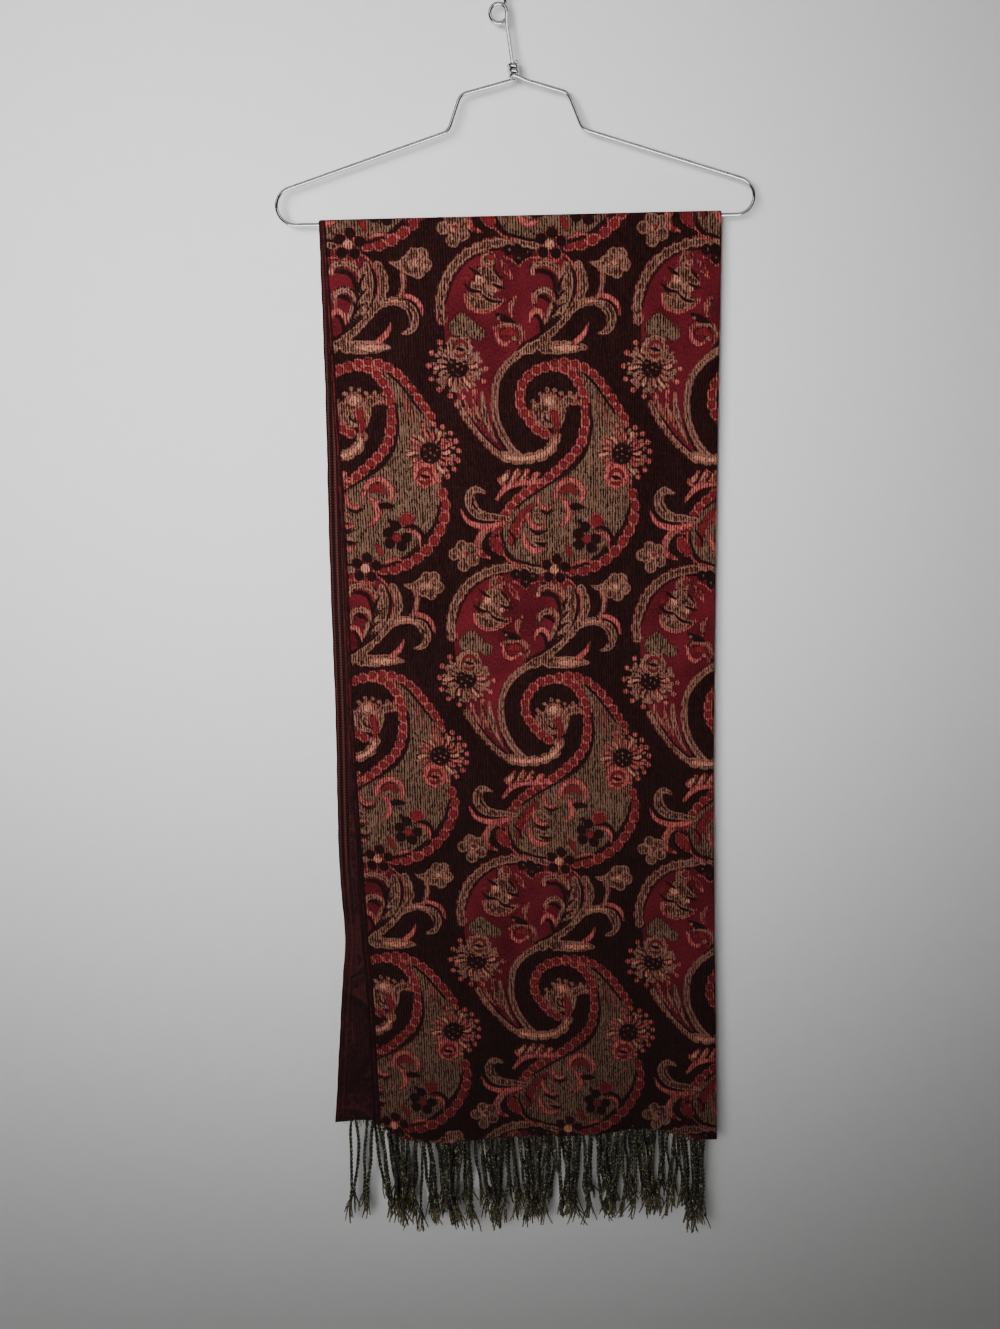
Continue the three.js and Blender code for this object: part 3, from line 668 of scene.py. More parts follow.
@dataclass
class PaisleyRepeat:
    """One repeat of the weave, as a distance field for each ink, negative inside the ink."""

    width: float = 176.7
    height: float = 284.0
    cell: float = 0.6
    # the chart was drawn on hanging cloth, which leans to the left and whose weft runs downhill
    chart_height: float = 286.0
    chart_middle: tuple[float, float] = (0.5, 2.0)
    chart_lean: float = 0.0157
    chart_slope: tuple[float, float] = (0.022, 0.047)
    origin: tuple[float, float] = (27.4, 21.5)  # a corner flower's place: x, drop
    far: float = 6.0  # beyond which a distance isn't kept
    speck: float = 0.01  # length of the stroke that makes a round spot
    bead_step: float = 0.5  # between the places along a guide where a bead may lie
    run: int = 8  # segments of a line that are laid together
    shape: tuple[int, int] = field(init=False)
    step: np.ndarray = field(init=False)
    inks: np.ndarray = field(init=False)

    def __post_init__(self) -> None:
        """Paints the chart."""
        self.shape = (round(self.height / self.cell), round(self.width / self.cell))
        self.step = np.array([self.width / self.shape[1], self.height / self.shape[0]])
        self.inks = np.full((len(Ink), *self.shape), self.far)
        for mark in chart():
            self.paint(mark)

    def upright(self, points: np.ndarray) -> np.ndarray:
        """Charted points as they lie on flat cloth, counted from the corner flower's middle.

        Args:
            points: Charted points, one a row.

        Returns:
            The same points with the hanging cloth's lean and slope taken out.
        """
        across, down = (points - self.chart_middle).T
        slope = self.chart_slope[0] + (self.chart_slope[1] - self.chart_slope[0]) * down / self.height
        down = (down - slope * across) * (self.height / self.chart_height)
        return np.stack([across + self.chart_lean * down, down], 1)

    def paint(self, mark: Mark) -> None:
        """Paints one mark over what is there: its own ink grows and the others give way.

        Args:
            mark: What to paint.
        """
        guide = self.upright(np.array(mark.at, float))
        if mark.form is Form.SHAPE:
            self._fill(mark.ink, spline(guide, 5, closed=True))
        elif len(guide) == 1:
            self._stroke(mark.ink, np.concatenate([guide, guide + self.speck]), np.full(2, mark.half[0]))
        elif mark.form is Form.BEADS:
            self._beads(mark, evenly(spline(guide, 8), 2.0))
        else:
            self._line(mark, evenly(spline(guide, 8), 2.0))

    def _beads(self, mark: Mark, curve: np.ndarray) -> None:
        """Sets beads along a curve, each a short stroke.

        Args:
            mark: Their ink, half width, spacing and length.
            curve: The guide curve.
        """
        even = evenly(curve, self.bead_step)
        last = len(even) - 1
        count = max(int(len(even) * self.bead_step / mark.every), 1) + 1
        for middle in np.linspace(0, last, count):
            ends = np.clip([middle - mark.length, middle + mark.length], 0, last).astype(int)
            bead = even[ends] + np.array([[0, 0], [self.speck, 0]])
            self._stroke(mark.ink, bead, np.full(2, mark.half[0]))

    def _line(self, mark: Mark, curve: np.ndarray) -> None:
        """Strokes a curve in short runs, with the half widths spread from end to end.

        Args:
            mark: The line's ink and half widths.
            curve: The guide curve.
        """
        halves = np.interp(np.linspace(0, 1, len(curve)), np.linspace(0, 1, len(mark.half)), mark.half)
        for start in range(0, len(curve) - 1, self.run):
            part = slice(start, start + self.run + 1)
            self._stroke(mark.ink, curve[part], halves[part])

    def _window(self, points: np.ndarray, margin: float) -> tuple[np.ndarray, np.ndarray, np.ndarray]:
        """The cells round some points.

        Args:
            points: The points, one a row.
            margin: How far beyond them to go.

        Returns:
            The cells' rows and columns, wrapped to the repeat, and their places.
        """
        low = np.floor((points.min(0) - margin) / self.step).astype(int)
        high = np.ceil((points.max(0) + margin) / self.step).astype(int)
        columns, rows = np.arange(low[0], high[0] + 1), np.arange(low[1], high[1] + 1)
        across, down = np.meshgrid(columns * self.step[0], rows * self.step[1])
        place = np.stack([across, down], -1)
        return rows % self.shape[0], columns % self.shape[1], place

    def _apply(self, ink: Ink, rows: np.ndarray, columns: np.ndarray, distance: np.ndarray) -> None:
        """Joins a distance to its ink's field and cuts it out of the others."""
        block = np.ix_(np.arange(len(Ink)), rows, columns)
        self.inks[block] = lay(self.inks[block], ink, distance)

    def _stroke(self, ink: Ink, points: np.ndarray, halves: np.ndarray) -> None:
        """Lays a run of segments: the distance to each, less its half width, and the least of them.

        Args:
            ink: Their ink.
            points: The segments' ends, one a row.
            halves: The half width at each end.
        """
        rows, columns, place = self._window(points, halves.max() + self.far)
        start, leg = points[:-1], np.diff(points, axis=0)
        t = ((place[..., None, :] - start) * leg).sum(-1) / np.maximum((leg * leg).sum(-1), TINY)
        t = np.clip(t, 0, 1)
        nearest = start + t[..., None] * leg
        distance = np.linalg.norm(place[..., None, :] - nearest, axis=-1)
        distance = distance - (halves[:-1] + t * np.diff(halves))
        self._apply(ink, rows, columns, distance.min(-1))

    def _fill(self, ink: Ink, ring: np.ndarray) -> None:
        """Lays a closed shape: the distance to its outline, negative inside.

        A cell is inside where a level line from it crosses the outline an odd number of times.

        Args:
            ink: Its ink.
            ring: Its outline, one point a row.
        """
        rows, columns, place = self._window(ring, self.far)
        after = np.roll(ring, -1, axis=0)
        distance = np.full(place.shape[:2], np.inf)
        inside = np.zeros(place.shape[:2], bool)
        for start, end in zip(ring, after):
            leg = end - start
            t = np.clip(((place - start) * leg).sum(-1) / (leg @ leg), 0, 1)
            distance = np.minimum(distance, np.linalg.norm(place - start - t[..., None] * leg, axis=-1))
            crossed = (start[1] > place[..., 1]) != (end[1] > place[..., 1])
            rise = leg[1] if abs(leg[1]) > TINY else TINY
            inside ^= crossed & (place[..., 0] < start[0] + leg[0] * (place[..., 1] - start[1]) / rise)
        self._apply(ink, rows, columns, np.where(inside, -distance, distance))

    def at(self, x: np.ndarray, drop: np.ndarray) -> np.ndarray:
        """The fields at places on the cloth, between cells by the bilinear mean of four.

        Args:
            x: Millimetres across the flat cloth.
            drop: Millimetres down it.

        Returns:
            An array with one more axis in front, an ink for each entry.
        """
        column = (x - self.origin[0]) / self.step[0]
        row = (drop - self.origin[1]) / self.step[1]
        left, top = np.floor(column).astype(int), np.floor(row).astype(int)
        beyond_left, beyond_top = column - left, row - top
        rows, columns = self.shape
        right, foot = (left + 1) % columns, (top + 1) % rows
        left, top = left % columns, top % rows
        upper = self.inks[:, top, left] * (1 - beyond_left) + self.inks[:, top, right] * beyond_left
        lower = self.inks[:, foot, left] * (1 - beyond_left) + self.inks[:, foot, right] * beyond_left
        return upper * (1 - beyond_top) + lower * beyond_top


# ---- meshes ---------------------------------------------------------------------------------


def mesh_object(name: str, points: np.ndarray, faces: np.ndarray) -> bpy.types.Object:
    """An object at the origin from points in millimetres and quads or triangles.

    Args:
        name: The piece's name.
        points: One a row.
        faces: Corner numbers, one face a row.

    Returns:
        The linked object, smooth shaded.
    """
    mesh = bpy.data.meshes.new(name)
    count, sides = faces.shape
    mesh.vertices.add(len(points))
    mesh.vertices.foreach_set("co", (points * MM).astype(np.float32).ravel())
    mesh.loops.add(faces.size)
    mesh.loops.foreach_set("vertex_index", faces.astype(np.int32).ravel())
    mesh.polygons.add(count)
    mesh.polygons.foreach_set("loop_start", np.arange(0, count * sides, sides, dtype=np.int32))
    mesh.polygons.foreach_set("use_smooth", np.ones(count, bool))
    mesh.update(calc_edges=True)
    mesh.validate()
    piece = bpy.data.objects.new(name, mesh)
    bpy.context.scene.collection.objects.link(piece)
    return piece


def grid_faces(rows: int, columns: int, flip: bool = False, round_columns: bool = False) -> np.ndarray:
    """Quads of a grid whose points are numbered row by row.

    Args:
        rows: Rows of points.
        columns: Points in a row.
        flip: Turns the faces over.
        round_columns: Joins the last column to the first.

    Returns:
        One quad a row.
    """
    across = columns if round_columns else columns - 1
    row, column = np.meshgrid(np.arange(rows - 1), np.arange(across), indexing="ij")
    here, right = row * columns + column, row * columns + (column + 1) % columns
    quads = np.stack([here, here + columns, right + columns, right], -1).reshape(-1, 4)
    return quads[:, ::-1] if flip else quads


def vector_attribute(piece: bpy.types.Object, name: str, values: np.ndarray) -> None:
    """Stores three numbers for every point under a name that the materials read.

    Args:
        piece: The object.
        name: The attribute's name.
        values: Three numbers a row, one row for each point.
    """
    layer = piece.data.attributes.new(name, "FLOAT_VECTOR", "POINT")
    layer.data.foreach_set("vector", values.astype(np.float32).ravel())


# ---- shader nodes ---------------------------------------------------------------------------


class Signal:
    """A number from a node's output, on which arithmetic adds Math nodes."""

    def __init__(self, book: "NodeBook", socket: bpy.types.NodeSocket) -> None:
        """Wraps an output socket of the book's tree."""
        self.book = book
        self.socket = socket

    def _with(self, operation: str, *values: "Signal | float") -> "Signal":
        """A Math node on these values."""
        return self.book.signal("ShaderNodeMath", {"operation": operation}, dict(enumerate(values)))

    def __add__(self, other: "Signal | float") -> "Signal":
        """self + other."""
        return self._with("ADD", self, other)

    __radd__ = __add__

    def __sub__(self, other: "Signal | float") -> "Signal":
        """self - other."""
        return self._with("SUBTRACT", self, other)

    def __rsub__(self, other: float) -> "Signal":
        """other - self."""
        return self._with("SUBTRACT", other, self)

    def __mul__(self, other: "Signal | float") -> "Signal":
        """self * other."""
        return self._with("MULTIPLY", self, other)

    __rmul__ = __mul__

    def floor(self) -> "Signal":
        """The whole number below."""
        return self._with("FLOOR", self)

    def sine(self) -> "Signal":
        """The sine of the number, in radians."""
        return self._with("SINE", self)

    def between(self, low: float, high: float) -> "Signal":
        """0 at low, 1 at high, straight between and held beyond."""
        return self.book.signal(
            "ShaderNodeMapRange", {"clamp": True}, {"Value": self, "From Min": low, "From Max": high}
        )


class NodeBook:
    """The node tree of a material or a world, to which nodes are added one by one."""

    def __init__(self, owner: bpy.types.Material | bpy.types.World) -> None:
        """Empties the owner's tree.

        Args:
            owner: What the tree belongs to.
        """
        owner.use_nodes = True
        self.owner = owner
        self.tree = owner.node_tree
        self.tree.nodes.clear()

    def node(self, kind: str, settings: dict, inputs: dict) -> bpy.types.Node:
        """Adds one node.

        Args:
            kind: The node's type.
            settings: Its properties, set first.
            inputs: Values, signals or sockets for its inputs, by name or number.

        Returns:
            The node.
        """
        made = self.tree.nodes.new(kind)
        for name, value in settings.items():
            setattr(made, name, value)
        for name, value in inputs.items():
            if isinstance(value, Signal):
                self.tree.links.new(value.socket, made.inputs[name])
            elif isinstance(value, bpy.types.NodeSocket):
                self.tree.links.new(value, made.inputs[name])
            else:
                made.inputs[name].default_value = value
        return made

    def signal(self, kind: str, settings: dict, inputs: dict) -> Signal:
        """Adds one node and wraps its first output."""
        return Signal(self, self.node(kind, settings, inputs).outputs[0])

    def vector(self, x: Signal, y: Signal) -> bpy.types.NodeSocket:
        """Two numbers as a vector whose third is 0."""
        return self.node("ShaderNodeCombineXYZ", {}, {0: x, 1: y}).outputs[0]

    def split(self, vector: bpy.types.NodeSocket) -> tuple[Signal, Signal, Signal]:
        """The three numbers of a vector."""
        outputs = self.node("ShaderNodeSeparateXYZ", {}, {0: vector}).outputs
        return Signal(self, outputs[0]), Signal(self, outputs[1]), Signal(self, outputs[2])

    def parts(self, name: str) -> tuple[Signal, Signal, Signal]:
        """The three numbers that are stored under an attribute's name."""
        return self.split(self.node("ShaderNodeAttribute", {"attribute_name": name}, {}).outputs["Vector"])

    def place(self) -> bpy.types.NodeSocket:
        """Where a point lies, in the object's own coordinates."""
        return self.node("ShaderNodeTexCoord", {}, {}).outputs["Object"]

    def noise(self, place: bpy.types.NodeSocket, scale: float, detail: float = 2.0) -> Signal:
        """Smooth noise about one half."""
        return self.signal("ShaderNodeTexNoise", {}, {"Vector": place, "Scale": scale, "Detail": detail})

    def mix(
        self,
        factor: Signal | float,
        first: tuple | bpy.types.NodeSocket,
        second: tuple | bpy.types.NodeSocket,
        blend: str = "MIX",
    ) -> bpy.types.NodeSocket:
        """One colour mixed into another."""
        settings = {"data_type": "RGBA", "blend_type": blend}
        return self.node("ShaderNodeMix", settings, {0: factor, 6: first, 7: second}).outputs[2]

    def shaded(self, colour: tuple | bpy.types.NodeSocket, shade: Signal) -> bpy.types.NodeSocket:
        """A colour multiplied by a number."""
        grey = self.node("ShaderNodeCombineColor", {}, {0: shade, 1: shade, 2: shade}).outputs[0]
        return self.mix(1.0, colour, grey, "MULTIPLY")

    def bump(self, height: Signal, strength: float, depth: float) -> bpy.types.NodeSocket:
        """The normal of a surface raised by a height, its depth in metres."""
        settings = {"Strength": strength, "Distance": depth, "Height": height}
        return self.node("ShaderNodeBump", {}, settings).outputs[0]

    def surface(self, inputs: dict) -> bpy.types.Material:
        """Ends the tree in a Principled BSDF.

        Args:
            inputs: The shader's inputs by name.

        Returns:
            The material.
        """
        shader = self.node("ShaderNodeBsdfPrincipled", {}, inputs)
        self.node("ShaderNodeOutputMaterial", {}, {"Surface": shader.outputs[0]})
        return self.owner


def linear(red: float, green: float, blue: float) -> tuple[float, float, float, float]:
    """A display colour as the linear one that nodes take.

    Args:
        red: From 0 to 255.
        green: From 0 to 255.
        blue: From 0 to 255.

    Returns:
        Red, green and blue from 0 to 1, and an alpha of 1.
    """
    shown = np.array([red, green, blue]) / 255
    made = np.where(shown <= 0.04045, shown / 12.92, ((shown + 0.055) / 1.055) ** 2.4)
    return (*made.tolist(), 1.0)


@dataclass(frozen=True)
class Yarn:
    """A yarn colour as two display colours: where it sinks and where it floats on top."""

    sunk: tuple[float, float, float]
    floated: tuple[float, float, float]

    def shown(self, book: NodeBook, float_share: Signal) -> bpy.types.NodeSocket:
        """Its colour where so much of it floats."""
        return book.mix(float_share, linear(*self.sunk), linear(*self.floated))


@dataclass(frozen=True)
class WeaveFinish:
    """What both sides of the cloth share: how its threads run, wander and break."""

    name: str
    thread: float = 1.15  # millimetres from one warp thread to the next
    dash: float = 3.6  # length of a float before the thread sinks again
    ragged: float = 1.5  # how far threads push a motif's edge about
    soft: float = 0.4  # half of the width over which one yarn gives way to the next

    def threads(self, book: NodeBook, x: Signal, drop: Signal) -> tuple[Signal, Signal, Signal]:
        """How the threads vary over the cloth.

        The thread's number is the floor of x over the thread width. White noise on that number and
        on the dash's number along the thread says how much the dash floats. A wandering sine over
        two threads adds the regular hatching.

        Args:
            book: The tree to add to.
            x: Millimetres across.
            drop: Millimetres down.

        Returns:
            The dash's brightness, the hatching and a fine fuzz, each from 0 to 1.
        """
        number = (x * (1 / self.thread)).floor()
        own = book.signal("ShaderNodeTexWhiteNoise", {"noise_dimensions": "1D"}, {"W": number})
        dash = (drop * (1 / self.dash) + own * 9.0).floor()
        place = book.vector(number, dash)
        bright = book.signal("ShaderNodeTexWhiteNoise", {"noise_dimensions": "2D"}, {"Vector": place})
        wander = book.noise(book.vector(x * 0.12, drop * 0.02), 1.0) * 9.0
        hatch = (x * (np.pi / self.thread) + wander).sine() * 0.5 + 0.5
        fuzz = book.noise(book.vector(x * 0.85, drop * 0.42), 1.0)
        return bright, hatch, fuzz


@dataclass(frozen=True)
class JacquardFinish(WeaveFinish):
    """The woven face: yarns over a dark ground, pale where they float and hatched where they sink."""

    name: str = "jacquard_face"
    ground: Yarn = Yarn((12, 4, 4), (38, 18, 17))
    crimson: Yarn = Yarn((34, 7, 10), (76, 18, 25))
    olive: Yarn = Yarn((18, 7, 5), (90, 66, 53))
    tan: Yarn = Yarn((34, 11, 8), (116, 85, 71))
    coral: Yarn = Yarn((54, 13, 13), (150, 76, 71))
    rose: Yarn = Yarn((44, 8, 10), (96, 27, 30))
    orange: Yarn = Yarn((56, 17, 12), (156, 103, 85))
    dark: Yarn = Yarn((11, 4, 4), (28, 13, 13))
    rim: tuple[float, float, float] = (122, 78, 66)
    rim_width: float = 1.0
    rim_share: float = 0.4
    hollow: float = 0.18  # how much less the tan yarn floats inside its motifs
    pick: float = 1.6  # millimetres from one weft row to the next
    roughness: float = 0.86
    sheen: float = 0.01

    def make(self) -> bpy.types.Material:
        """Builds the material: each ink covers the one before inside its own field.

        A field's edge is pushed about by fuzz and by each dash's brightness. How much of a yarn
        floats is the mean of brightness and hatching, plus fuzz, and picks its colour. Tan motifs
        also get a paler rim. The bump adds hatching, weft rows, the raised inks and fuzz.

        Returns:
            The material.
        """
        book = NodeBook(bpy.data.materials.new(self.name))
        x, drop, orange = book.parts("weave_place")
        crimson, olive, tan = book.parts("inks_under")
        coral, rose, dark = book.parts("inks_over")
        bright, hatch, fuzz = self.threads(book, x, drop)
        cloud = book.noise(book.vector(x * 0.022, drop * 0.016), 1.0)
        shift = (fuzz - 0.5) * self.ragged + (bright - 0.5) * (self.ragged * 0.9)

        def covers(distance: Signal) -> Signal:
            """Where an ink lies: 1 inside its field and 0 outside."""
            return (distance + shift).between(self.soft, -self.soft)

        floats = bright * 0.5 + hatch * 0.5 + (fuzz - 0.5) * 0.8
        crisp = floats.between(0.3, 0.7)
        mild = floats.between(-0.1, 1.0)
        inside = tan.between(-0.8, -2.0) * self.hollow
        covered = [
            (covers(crimson), self.crimson, (fuzz + cloud - 0.5).between(0.1, 0.75)),
            (covers(olive), self.olive, crisp),
            (covers(tan), self.tan, (floats - inside).between(0.25, 0.85)),
            (covers(coral), self.coral, (floats + 0.05).between(0.25, 0.9)),
            (covers(rose), self.rose, mild),
            (covers(orange), self.orange, (floats + 0.05).between(0.2, 0.8)),
            (covers(dark), self.dark, mild),
        ]
        colour = self.ground.shown(book, mild * mild)
        for cover, yarn, share in covered:
            colour = book.mix(cover, colour, yarn.shown(book, share))
            if yarn is self.tan:
                edge = cover * (tan + shift + self.rim_width).between(-self.soft, self.soft)
                colour = book.mix(edge * self.rim_share, colour, linear(*self.rim))
        colour = book.shaded(colour, 1.0 + ((fuzz - 0.5) * 0.5 + (cloud - 0.5) * 0.5))
        over_tan, over_coral, over_orange = (covered[row][0] * 0.7 for row in (2, 3, 5))
        weft = (drop * (FULL_TURN / self.pick) + bright * 3.0).sine() * 0.3
        height = hatch * 0.5 + weft + (over_tan + over_coral + over_orange) + fuzz
        return book.surface(
            {
                "Base Color": colour,
                "Roughness": self.roughness + 0.1 * (bright - 0.5),
                "Normal": book.bump(height, 0.4, 0.0005),
                "Specular IOR Level": 0.03,
                "Sheen Weight": self.sheen,
                "Sheen Roughness": 0.4,
            }
        )


@dataclass(frozen=True)
class ReverseFinish(WeaveFinish):
    """The wrong side: a dull maroon ground, a ghost of the motifs and a ribbed selvedge."""

    name: str = "jacquard_reverse"
    ragged: float = 2.2
    ground: Yarn = Yarn((18, 7, 9), (42, 19, 20))
    ghost: Yarn = Yarn((38, 14, 16), (72, 32, 32))
    shadow: Yarn = Yarn((12, 6, 7), (28, 14, 15))
    selvedge: Yarn = Yarn((38, 16, 15), (74, 36, 32))
    ribs: float = 5.0  # millimetres from rib to rib
    twill: float = 2.6  # millimetres from one twill line to the next
    selvedge_width: float = 11.0
    roughness: float = 0.88

    def make(self) -> bpy.types.Material:
        """Builds the material.

        The selvedge's ribs are a sine of the distance from the woven edge, paler in its upper
        part, and the ghost is the face's motifs with little contrast.

        Returns:
            The material.
        """
        book = NodeBook(bpy.data.materials.new(self.name))
        x, drop, edge = book.parts("weave_place")
        crimson, _, tan = book.parts("inks_under")
        coral, _, _ = book.parts("inks_over")
        bright, hatch, fuzz = self.threads(book, x, drop)
        shift = (fuzz - 0.5) * self.ragged
        floats = (bright * 0.5 + hatch * 0.5 + (fuzz - 0.5) * 0.8).between(0.0, 1.0)
        pale = (crimson + shift).between(1.0, -1.0) * 0.4 + (coral + shift).between(0.8, -0.8) * 0.6
        deep = (tan + shift).between(0.8, -0.8) * 0.8
        colour = book.mix(pale, self.ground.shown(book, floats), self.ghost.shown(book, floats))
        colour = book.mix(deep, colour, self.shadow.shown(book, floats))
        rib = (edge * (FULL_TURN / self.ribs) - 0.6).sine().between(-0.1, 0.8)
        twill = (drop * (FULL_TURN / self.twill) + edge * 1.2).sine().between(-1.0, 0.6)
        stripe = book.mix(rib, self.shadow.shown(book, floats), self.selvedge.shown(book, twill))
        band = edge.between(self.selvedge_width + 0.5, self.selvedge_width - 0.5)
        band = band * (drop.between(640, 570) * 0.7 + 0.3)
        colour = book.shaded(book.mix(band, colour, stripe), 1.0 + (fuzz - 0.5) * 0.6)
        height = hatch * 0.5 + fuzz + rib * band
        return book.surface(
            {
                "Base Color": colour,
                "Roughness": self.roughness,
                "Normal": book.bump(height, 0.4, 0.0005),
                "Specular IOR Level": 0.03,
                "Sheen Weight": 0.01,
                "Sheen Roughness": 0.5,
            }
        )


@dataclass(frozen=True)
class CordFinish:
    """Twisted fringe: dark plies with cream flecks, paler and greener where the ends are frayed."""

    name: str = "fringe_cord"
    ply: tuple[float, float, float] = (30, 26, 18)
    # the dark of a strand's random tone, and the painted shade in the groove between the plies
    deep: tuple[float, float, float] = (8, 6, 5)
    fleck: tuple[float, float, float] = (172, 162, 124)
    frayed: tuple[float, float, float] = (104, 94, 62)
    roughness: float = 0.85

    def make(self) -> bpy.types.Material:
        """Builds the material: flecks by noise, painted shade in the groove between the plies, and frayed
        colour by the stored place on the strand.

        Returns:
            The material.
        """
        book = NodeBook(bpy.data.materials.new(self.name))
        down, groove_shade, tone = book.parts("cord_place")
        place = book.place()
        speck = book.noise(place, 620.0, 1.0)
        slow = book.noise(place, 90.0, 1.0)
        colour = book.mix(tone, linear(*self.deep), linear(*self.ply))
        # painted shade: darker in the groove between the two plies
        colour = book.mix(groove_shade * 0.75, colour, linear(*self.deep))
        loose = (down + (slow - 0.5) * 0.3).between(0.62, 0.9) * tone * tone
        colour = book.mix(loose, colour, linear(*self.frayed))
        colour = book.mix(speck.between(0.6, 0.67) * 0.75, colour, linear(*self.fleck))
        return book.surface(
            {
                "Base Color": colour,
                "Roughness": self.roughness,
                "Normal": book.bump(speck, 0.5, 0.0003),
                "Specular IOR Level": 0.1,
                "Sheen Weight": 0.02,
            }
        )


@dataclass(frozen=True)
class WireFinish:
    """Bright plated wire with faint drawing marks along it."""

    name: str = "chrome_wire"
    metal: tuple[float, float, float] = (196, 197, 199)
    dulled: tuple[float, float, float] = (150, 150, 150)
    roughness: float = 0.03

    def make(self) -> bpy.types.Material:
        """Builds the material: the marks and spots are noise in the roughness and a faint bump.

        Returns:
            The material.
        """
        book = NodeBook(bpy.data.materials.new(self.name))
        place = book.place()
        spots = book.noise(place, 160.0, 3.0)
        marks = book.noise(place, 900.0, 1.0)
        colour = book.mix(spots.between(0.5, 0.75) * 0.25, linear(*self.metal), linear(*self.dulled))
        return book.surface(
            {
                "Base Color": colour,
                "Metallic": 1.0,
                "Roughness": self.roughness + 0.14 * spots,
                "Normal": book.bump(marks, 0.06, 0.0001),
            }
        )


# ---- cloth ----------------------------------------------------------------------------------


class Edge(IntEnum):
    """Columns of the edge tables."""

    FOLD = 1
    OUTER = 2
    INNER = 3


class Layer(Enum):
    """The two leaves of the folded scarf."""

    OUTER = "outer"
    INNER = "inner"

    @property
    def sign(self) -> int:
        """1 for the leaf that lies outside and -1 for the one inside it."""
        return 1 if self is Layer.OUTER else -1

    @property
    def edge(self) -> Edge:
        """The column of its own edge."""
        return Edge.OUTER if self is Layer.OUTER else Edge.INNER

    @property
    def slot(self) -> str:
        """The material slot of the side of the cloth that it shows."""
        return "jacquard_face" if self is Layer.OUTER else "jacquard_reverse"


@dataclass(frozen=True)
class Side:
    """Front or back of the bar: which way it faces and its tables."""

    name: str
    facing: int
    edges: np.ndarray
    hem: np.ndarray

    def edge(self, column: Edge, drop: np.ndarray) -> np.ndarray:
        """x of an edge or of the fold at a drop."""
        return along(self.edges, column, drop)

    def hem_drop(self, layer: Layer, x: np.ndarray) -> np.ndarray:
        """Drop of a leaf's hem at x."""
        return along(self.hem, 1 if layer is Layer.OUTER else 2, x)


FRONT = Side("front", -1, FRONT_EDGES, FRONT_HEM)
BACK = Side("back", 1, BACK_EDGES, BACK_HEM)


def drape(x: np.ndarray, drop: np.ndarray) -> np.ndarray:
    """How far the cloth stands forward: the sum of the soft folds, each a bell across, growing down.

    Args:
        x: x of the places.
        drop: Their drops.

    Returns:
        Millimetres forward.
    """
    at, half, forward, lean, starts = DRAPE_FOLDS.T[(...,) + (None,) * x.ndim]
    across = (x - at - lean * (NOMINAL_DROP - drop)) / half
    return (forward * smoothstep(drop, starts, NOMINAL_DROP + 100) * np.exp(-across * across)).sum(0)


def creased(x: np.ndarray, drop: np.ndarray) -> np.ndarray:
    """Depth of the finer creases: each a bell across that fades over its two ends.

    Args:
        x: x of the places.
        drop: Their drops.

    Returns:
        Millimetres forward.
    """
    at, top, bottom, half, depth, lean = CREASES.T[(...,) + (None,) * x.ndim]
    across = (x - at - lean * (drop - top)) / half
    fade = smoothstep(drop, top, top + CREASE_ENDS) * (1 - smoothstep(drop, bottom - CREASE_ENDS, bottom))
    return (depth * fade * np.exp(-across * across)).sum(0)


@dataclass(frozen=True)
class Section:
    """A leaf's section across, one entry for each station."""

    share: np.ndarray  # of the way from the leaf's edge to the end of its flat stretch
    x: np.ndarray  # added to the flat stretch by the turned edge, the fold and the lip
    depth: np.ndarray  # likewise
    run: np.ndarray  # likewise, along the cloth


@dataclass(frozen=True)
class Spread:
    """Where a leaf's points lie with its rolled edges laid flat, row by row."""

    flat_x: np.ndarray
    edge: np.ndarray
    fold: np.ndarray
    run: np.ndarray
    drop: np.ndarray
    quarter: np.ndarray  # length of the quarter turn over the bar
    turn_rows: int


